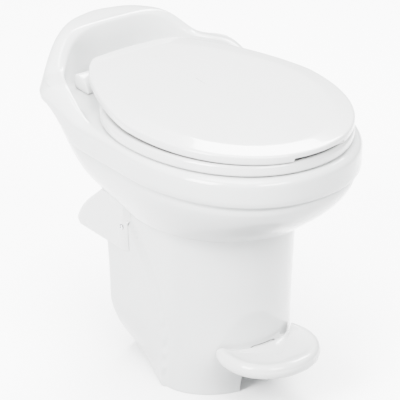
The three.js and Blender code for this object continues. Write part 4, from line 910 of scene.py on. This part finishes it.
# Pedal: a dished plate with a thick rounded rim; its inner edge follows the column.
def make_pedal():
    """Radii from the pedal's middle: the smaller of its own outline and the way to the column.

    Each row of the rim is the inset and height on the outer side, then on the column's side.
    """
    fine = np.linspace(0, math.pi, 721)
    disc = PEDAL.path()
    disc_angles = facing(disc, PEDAL_MIDDLE)
    disc_radii = np.hypot(disc[:, 0], disc[:, 1] - PEDAL_MIDDLE)
    order = np.argsort(disc_angles)
    outer = np.interp(fine, disc_angles[order], disc_radii[order])
    right = column_points(PEDAL_TOP, -PEDAL_GAP, 200)[:201]
    right = right[right[:, 1] < PEDAL_SEARCH]
    column_angles = facing(right, PEDAL_MIDDLE)
    column_radii = np.hypot(right[:, 0], right[:, 1] - PEDAL_MIDDLE)
    tip = column_angles.argmin()
    inner = np.interp(-fine, -column_angles[: tip + 1], column_radii[: tip + 1])
    inner[fine < column_angles[tip]] = OUT_OF_REACH
    limit = -PEDAL_TIP_ROUND * np.log(np.exp(-outer / PEDAL_TIP_ROUND) + np.exp(-inner / PEDAL_TIP_ROUND))
    share = smooth((outer - inner) / 14 + 0.35)
    shape = np.column_stack([limit * np.sin(fine), PEDAL_MIDDLE - limit * np.cos(fine)])
    steps = along(shape, FINE_STEPS, 20.0)
    angles = facing(steps, PEDAL_MIDDLE)
    reach = np.interp(angles, fine, limit)
    web = np.interp(angles, fine, share)
    rows = []
    rim = [
        (14, -9.3, 5, -9), (13, -11, 3, -8.9), (12.6, -17, 1.6, -8.4), (11.4, -20.5, 0.7, -7.9),
        (9, -22.6, 0.3, -7.4), (6.4, -23, 0.1, -6.9), (3.6, -21.8, 0, -6.4), (1.4, -18.8, 0, -5.9),
        (0.2, -14.6, 0, -5.3), (0, -10.2, 0, -4.7), (0.9, -6.4, 0.2, -4.0), (2.9, -3.2, 0.6, -3.2),
        (5.9, -1.1, 1.3, -2.4), (9.4, -0.1, 2.4, -2.0), (13, 0, 4, -1.8), (17, -0.9, 6.5, -1.9),
        (21.5, -2.2, 10, -2.6), (26, -3.3, 14, -3.4),
    ]

    def row(radius, height):
        right = np.column_stack([radius * np.sin(angles), PEDAL_MIDDLE - radius * np.cos(angles)])
        whole = mirrored(right)
        z = np.concatenate([height, height[-2:0:-1]])
        return np.column_stack([whole, PEDAL_TOP + z])

    flat = np.zeros(len(angles))
    rows.append(row(reach * 0.4, flat - 9))
    for inset, rise, web_inset, web_rise in rim:
        rows.append(row(reach - mix(inset, web_inset, web), mix(rise, web_rise, web) + flat))
    last = reach - mix(26, 14, web)
    for part, depth in ((0.8, -4.6), (0.55, -5.2), (0.25, -5.5)):
        rows.append(row(last * part, flat + depth))
    pedal = loft("pedal", rows)
    across = (-LEVER_HALF, LEVER_HALF)
    lever = block("lever", across, (LEVER_FRONT, PEDAL_PIVOT[0]), LEVER_HEIGHTS, LEVER_EDGE)
    hub = rod("hub", HUB_RADIUS, *across, PEDAL_PIVOT, "x", 1.2)
    through = (-HUB_BORE_REACH, HUB_BORE_REACH)
    bore = rod("bore", PEDAL_SHAFT_RADIUS + PIN_CLEARANCE, *through, PEDAL_PIVOT, "x")
    return cut(joined(pedal, lever, hub), bore)


# Hinge posts: a base on the deck, curving up into the barrel that holds the pin.
def make_post(side):
    """The post's section, as places along Y and heights, drawn out along X."""
    y, z = HINGE
    points = [(206.5, 442.3), (241, 442.3), (243.4, 444), (245, 449)]
    points += [(y + 9 * math.cos(a), z + 9 * math.sin(a)) for a in np.linspace(0, math.pi / 2, 8)]
    points += [(229, 467.2), (222, 464.7), (215.5, 460.9), (210, 456.2), (206.6, 451.4)]
    points += [(205, 447), (205, 443.6)]
    rings = [np.array([(x, a, b) for a, b in points]) for x in np.linspace(*span(side, *POST), 6)]
    post = rounded(loft("hinge_post", rings), 1.6, 3, 60)
    pin_end = POST[1] - 1.7
    across = span(side, SEAT_KNUCKLE[1], pin_end)
    bore = rod("bore", HINGE_PIN_RADIUS + PIN_CLEARANCE, *across, HINGE, "x", 0.1)
    x, y = HINGE_BOLT
    bolt = rod("bolt", BOLT_POCKET_RADIUS, *BOLT_POCKET, (side * x, y), edge=0.1)
    return cut(post, bore, bolt)


def make_bolt(side):
    centre = (side * HINGE_BOLT[0], HINGE_BOLT[1])
    profile = [(4.1, 409), (4.5, 409.6), (4.5, 451.6), (7.6, 451.6), (8, 452), (8, 453.4)]
    profile += [(7.5, 454.4), (6.2, 455.0), (3, 455.1)]
    bolt = turned("hinge_bolt", profile, centre, closed=False)
    slot = block("slot", (centre[0] - 6, centre[0] + 6), (centre[1] - 0.8, centre[1] + 0.8), (453.6, 458))
    return cut(bolt, slot)


def make_bumper(x, y, low, high):
    """A round rubber foot with a domed face and a stepped base."""
    edge = [(7.2, 0), (3.5, 0.15), (1.4, 0.6), (0.4, 1.3), (0, 2.2)]
    profile = [(BUMPER_RADIUS - inset, low + rise) for inset, rise in edge]
    base = [(0, 1.0), (0.6, 0.6), (0.6, 0)]
    profile += [(BUMPER_RADIUS - inset, high - fall) for inset, fall in base]
    return turned("bumper", profile, (x, y), sides=40, closed=False)


def smooth_sides():
    """A node group that shades smooth except at edges of more than an angle."""
    group = bpy.data.node_groups.new("smooth_sides", "GeometryNodeTree")
    group.interface.new_socket("Geometry", in_out="INPUT", socket_type="NodeSocketGeometry")
    group.interface.new_socket("Geometry", in_out="OUTPUT", socket_type="NodeSocketGeometry")
    start = group.nodes.new("NodeGroupInput")
    end = group.nodes.new("NodeGroupOutput")
    angle = group.nodes.new("GeometryNodeInputMeshEdgeAngle")
    gentle = group.nodes.new("FunctionNodeCompare")
    gentle.operation = "LESS_THAN"
    gentle.inputs["B"].default_value = math.radians(36)
    faces = group.nodes.new("GeometryNodeSetShadeSmooth")
    edges = group.nodes.new("GeometryNodeSetShadeSmooth")
    edges.domain = "EDGE"
    group.links.new(start.outputs[0], faces.inputs["Geometry"])
    group.links.new(faces.outputs["Geometry"], edges.inputs["Geometry"])
    group.links.new(angle.outputs["Unsigned Angle"], gentle.inputs["A"])
    group.links.new(gentle.outputs["Result"], edges.inputs["Shade Smooth"])
    group.links.new(edges.outputs["Geometry"], end.inputs[0])
    return group


SMOOTH_SIDES = smooth_sides()


def softened(node, width=0.35):
    """Welds a CAD node's corners, rounds its edges and smooths its sides, all in modifiers."""
    weld = node.modifiers.new("weld", "WELD")
    weld.merge_threshold = 1e-5
    edge = node.modifiers.new("edges", "BEVEL")
    edge.width = width / METRE
    edge.segments = 2
    edge.limit_method = "ANGLE"
    edge.angle_limit = math.radians(40)
    sides = node.modifiers.new("sides", "NODES")
    sides.node_group = SMOOTH_SIDES


# Pieces of the scene, each in place of the CAD node that it names.
SIDE_NAMES = ((-1, "left"), (1, "right"))

piece(make_bowl(), "base", "china", "bowl")
piece(make_pedestal(), "base", "china", "pedestal")
cover = piece(make_cover(), "base", "white_plastic", "rear_cover")
cover.data.materials[0] = HOOD
piece(make_seat(), "seat", "white_plastic", "seat")
piece(make_lid(), "lid", "white_plastic", "lid")
piece(make_pedal(), "pedal", "white_plastic", "pedal")
for side, name in SIDE_NAMES:
    piece(make_cover_screw(side), "base", "steel", f"rear_cover_screw_{name}")
    piece(make_post(side), "base", "white_plastic", f"hinge_post_{name}")
    piece(make_bolt(side), "base", "white_plastic", f"hinge_bolt_{name}")
    for place in ("front", "rear"):
        x, y = SEAT_BUMPERS[place]
        foot = make_bumper(side * x, y, RIM_HEIGHT + BUMPER_GAP, SEAT_BOTTOM - BUMPER_GAP)
        piece(foot, "seat", "rubber", f"seat_bumper_{place}_{name}")
        x, y = LID_BUMPERS[place]
        top = LID_BOTTOM + LID_HOLLOW - BUMPER_GAP - (HINGE[0] - y) * LID_TILT
        foot = make_bumper(side * x, y, SEAT_BOTTOM + LID_BUMPER_RISE, top)
        piece(foot, "lid", "rubber", f"lid_bumper_{place}_{name}")


# Every CAD node that is kept gets its slot's material, softer edges and smooth sides.
CARRIED = {
    "dark_plastic": [
        "mechanism_housing", "spring_cartridge", "water_valve", "inlet_locknut", "vacuum_breaker",
        "vacuum_breaker_cap", "rim_nozzle",
    ],
    "gear_plastic": [
        "pinion", "sector_gear", "valve_cam", "shaft_bushing_left", "shaft_bushing_right",
        "pedal_bearing_left", "pedal_bearing_right",
    ],
    "ball_plastic": ["flush_ball"],
    "rubber": ["ball_seal", "floor_seal", "vacuum_breaker_poppet"],
    "steel": [
        "bowl_clamp_left", "bowl_clamp_right", "clamp_screw_front", "clamp_screw_rear", "return_spring",
        "pedal_shaft", "valve_plunger", "hinge_pin_left", "hinge_pin_right",
    ],
    "brass": [
        "inlet_swivel_nut",
        *(f"closet_{part}_{side}" for part in ("bolt", "washer", "nut") for side in ("left", "right")),
    ],
    "white_plastic": ["hinge_nut_left", "hinge_nut_right"],
    "hose": ["supply_hose", "rinse_hose"],
}
for slot, names in CARRIED.items():
    for name in names:
        node = nodes[name]
        for place in node.material_slots:
            place.material = SLOTS[slot]
        softened(node)


# Floor, light and camera.
def plain(name, colour, roughness):
    made = bpy.data.materials.new(name)
    made.use_nodes = True
    shader = made.node_tree.nodes["Principled BSDF"]
    shader.inputs["Base Color"].default_value = (*colour, 1)
    shader.inputs["Roughness"].default_value = roughness
    return made


# From here on lengths are in metres, in the row frame, and powers in watts.
FLOOR_REACH = 9.0
WORLD_STRENGTH = 1.32
TARGET = Vector((0.0, -0.05, 0.26))
LIGHTS = {
    "overhead_softbox": {"place": (-0.6, -0.2, 4.2), "size": (2.4, 2.4), "power": 345},
    "rear_softbox": {"place": (2.01, 1.44, 3.2), "size": (2.22, 1.3), "power": 380},
    "left_panel": {"place": (-3.2, -0.5, 2.3), "size": (1.5, 2.2), "power": 560},
    "front_softbox": {"place": (-0.5, -3.4, 3.5), "size": (2.2, 1.4), "power": 430},
}
# This one lights the floor alone.
FLOOR_LIGHT = {"place": (0.4, 0.6, 5.0), "size": (6.0, 6.0), "power": 1500}
FOCAL = 228.0
SENSOR = 36
CAMERA_PLACE = (-2.1963, -2.9640, 2.0403)
BACK = Vector((-0.53913, -0.71545, 0.44439))
RIGHT = Vector((0.79864, -0.60182, 0.0))
UP = Vector((0.26744, 0.35491, 0.89584))
PAN = (-0.0082, 0.01582)

corners = [(x * FLOOR_REACH, y * FLOOR_REACH, 0) for x, y in ((-1, -1), (1, -1), (1, 1), (-1, 1))]
floor_mesh = bpy.data.meshes.new("floor")
floor_mesh.from_pydata(corners, [], [(0, 1, 2, 3)])
floor = bpy.data.objects.new("floor", floor_mesh)
floor_mesh.materials.append(plain("floor", (0.97, 0.97, 0.97), 0.7))
bpy.context.scene.collection.objects.link(floor)
floor.visible_diffuse = False

world = bpy.data.worlds.new("world")
world.use_nodes = True
backdrop = world.node_tree.nodes["Background"]
backdrop.inputs["Color"].default_value = (0.96, 0.98, 1.0, 1)
backdrop.inputs["Strength"].default_value = WORLD_STRENGTH
bpy.context.scene.world = world

lit_floor = bpy.data.collections.new("lit_floor")
lit_floor.objects.link(floor)


def area_light(name, place, size, power, aim=TARGET):
    data = bpy.data.lights.new(name, "AREA")
    data.shape = "RECTANGLE"
    data.size, data.size_y = size
    data.energy = power
    lamp = bpy.data.objects.new(name, data)
    lamp.location = place
    lamp.rotation_euler = (aim - Vector(place)).to_track_quat("-Z", "Y").to_euler()
    bpy.context.scene.collection.objects.link(lamp)
    return lamp


for name, values in LIGHTS.items():
    area_light(name, **values)
floor_lamp = area_light("floor_softbox", **FLOOR_LIGHT)
floor_lamp.light_linking.receiver_collection = lit_floor

aim_way = (-BACK + PAN[0] * RIGHT + PAN[1] * UP).normalized()
right = aim_way.cross(UP).normalized()
up = right.cross(aim_way)
camera_data = bpy.data.cameras.new("camera")
camera_data.lens = FOCAL
camera_data.sensor_width = SENSOR
camera_data.clip_end = 50
camera = bpy.data.objects.new("camera", camera_data)
turn = Matrix((right, up, -aim_way)).transposed()
camera.matrix_world = Matrix.Translation(CAMERA_PLACE) @ turn.to_4x4()
bpy.context.scene.collection.objects.link(camera)
bpy.context.scene.camera = camera
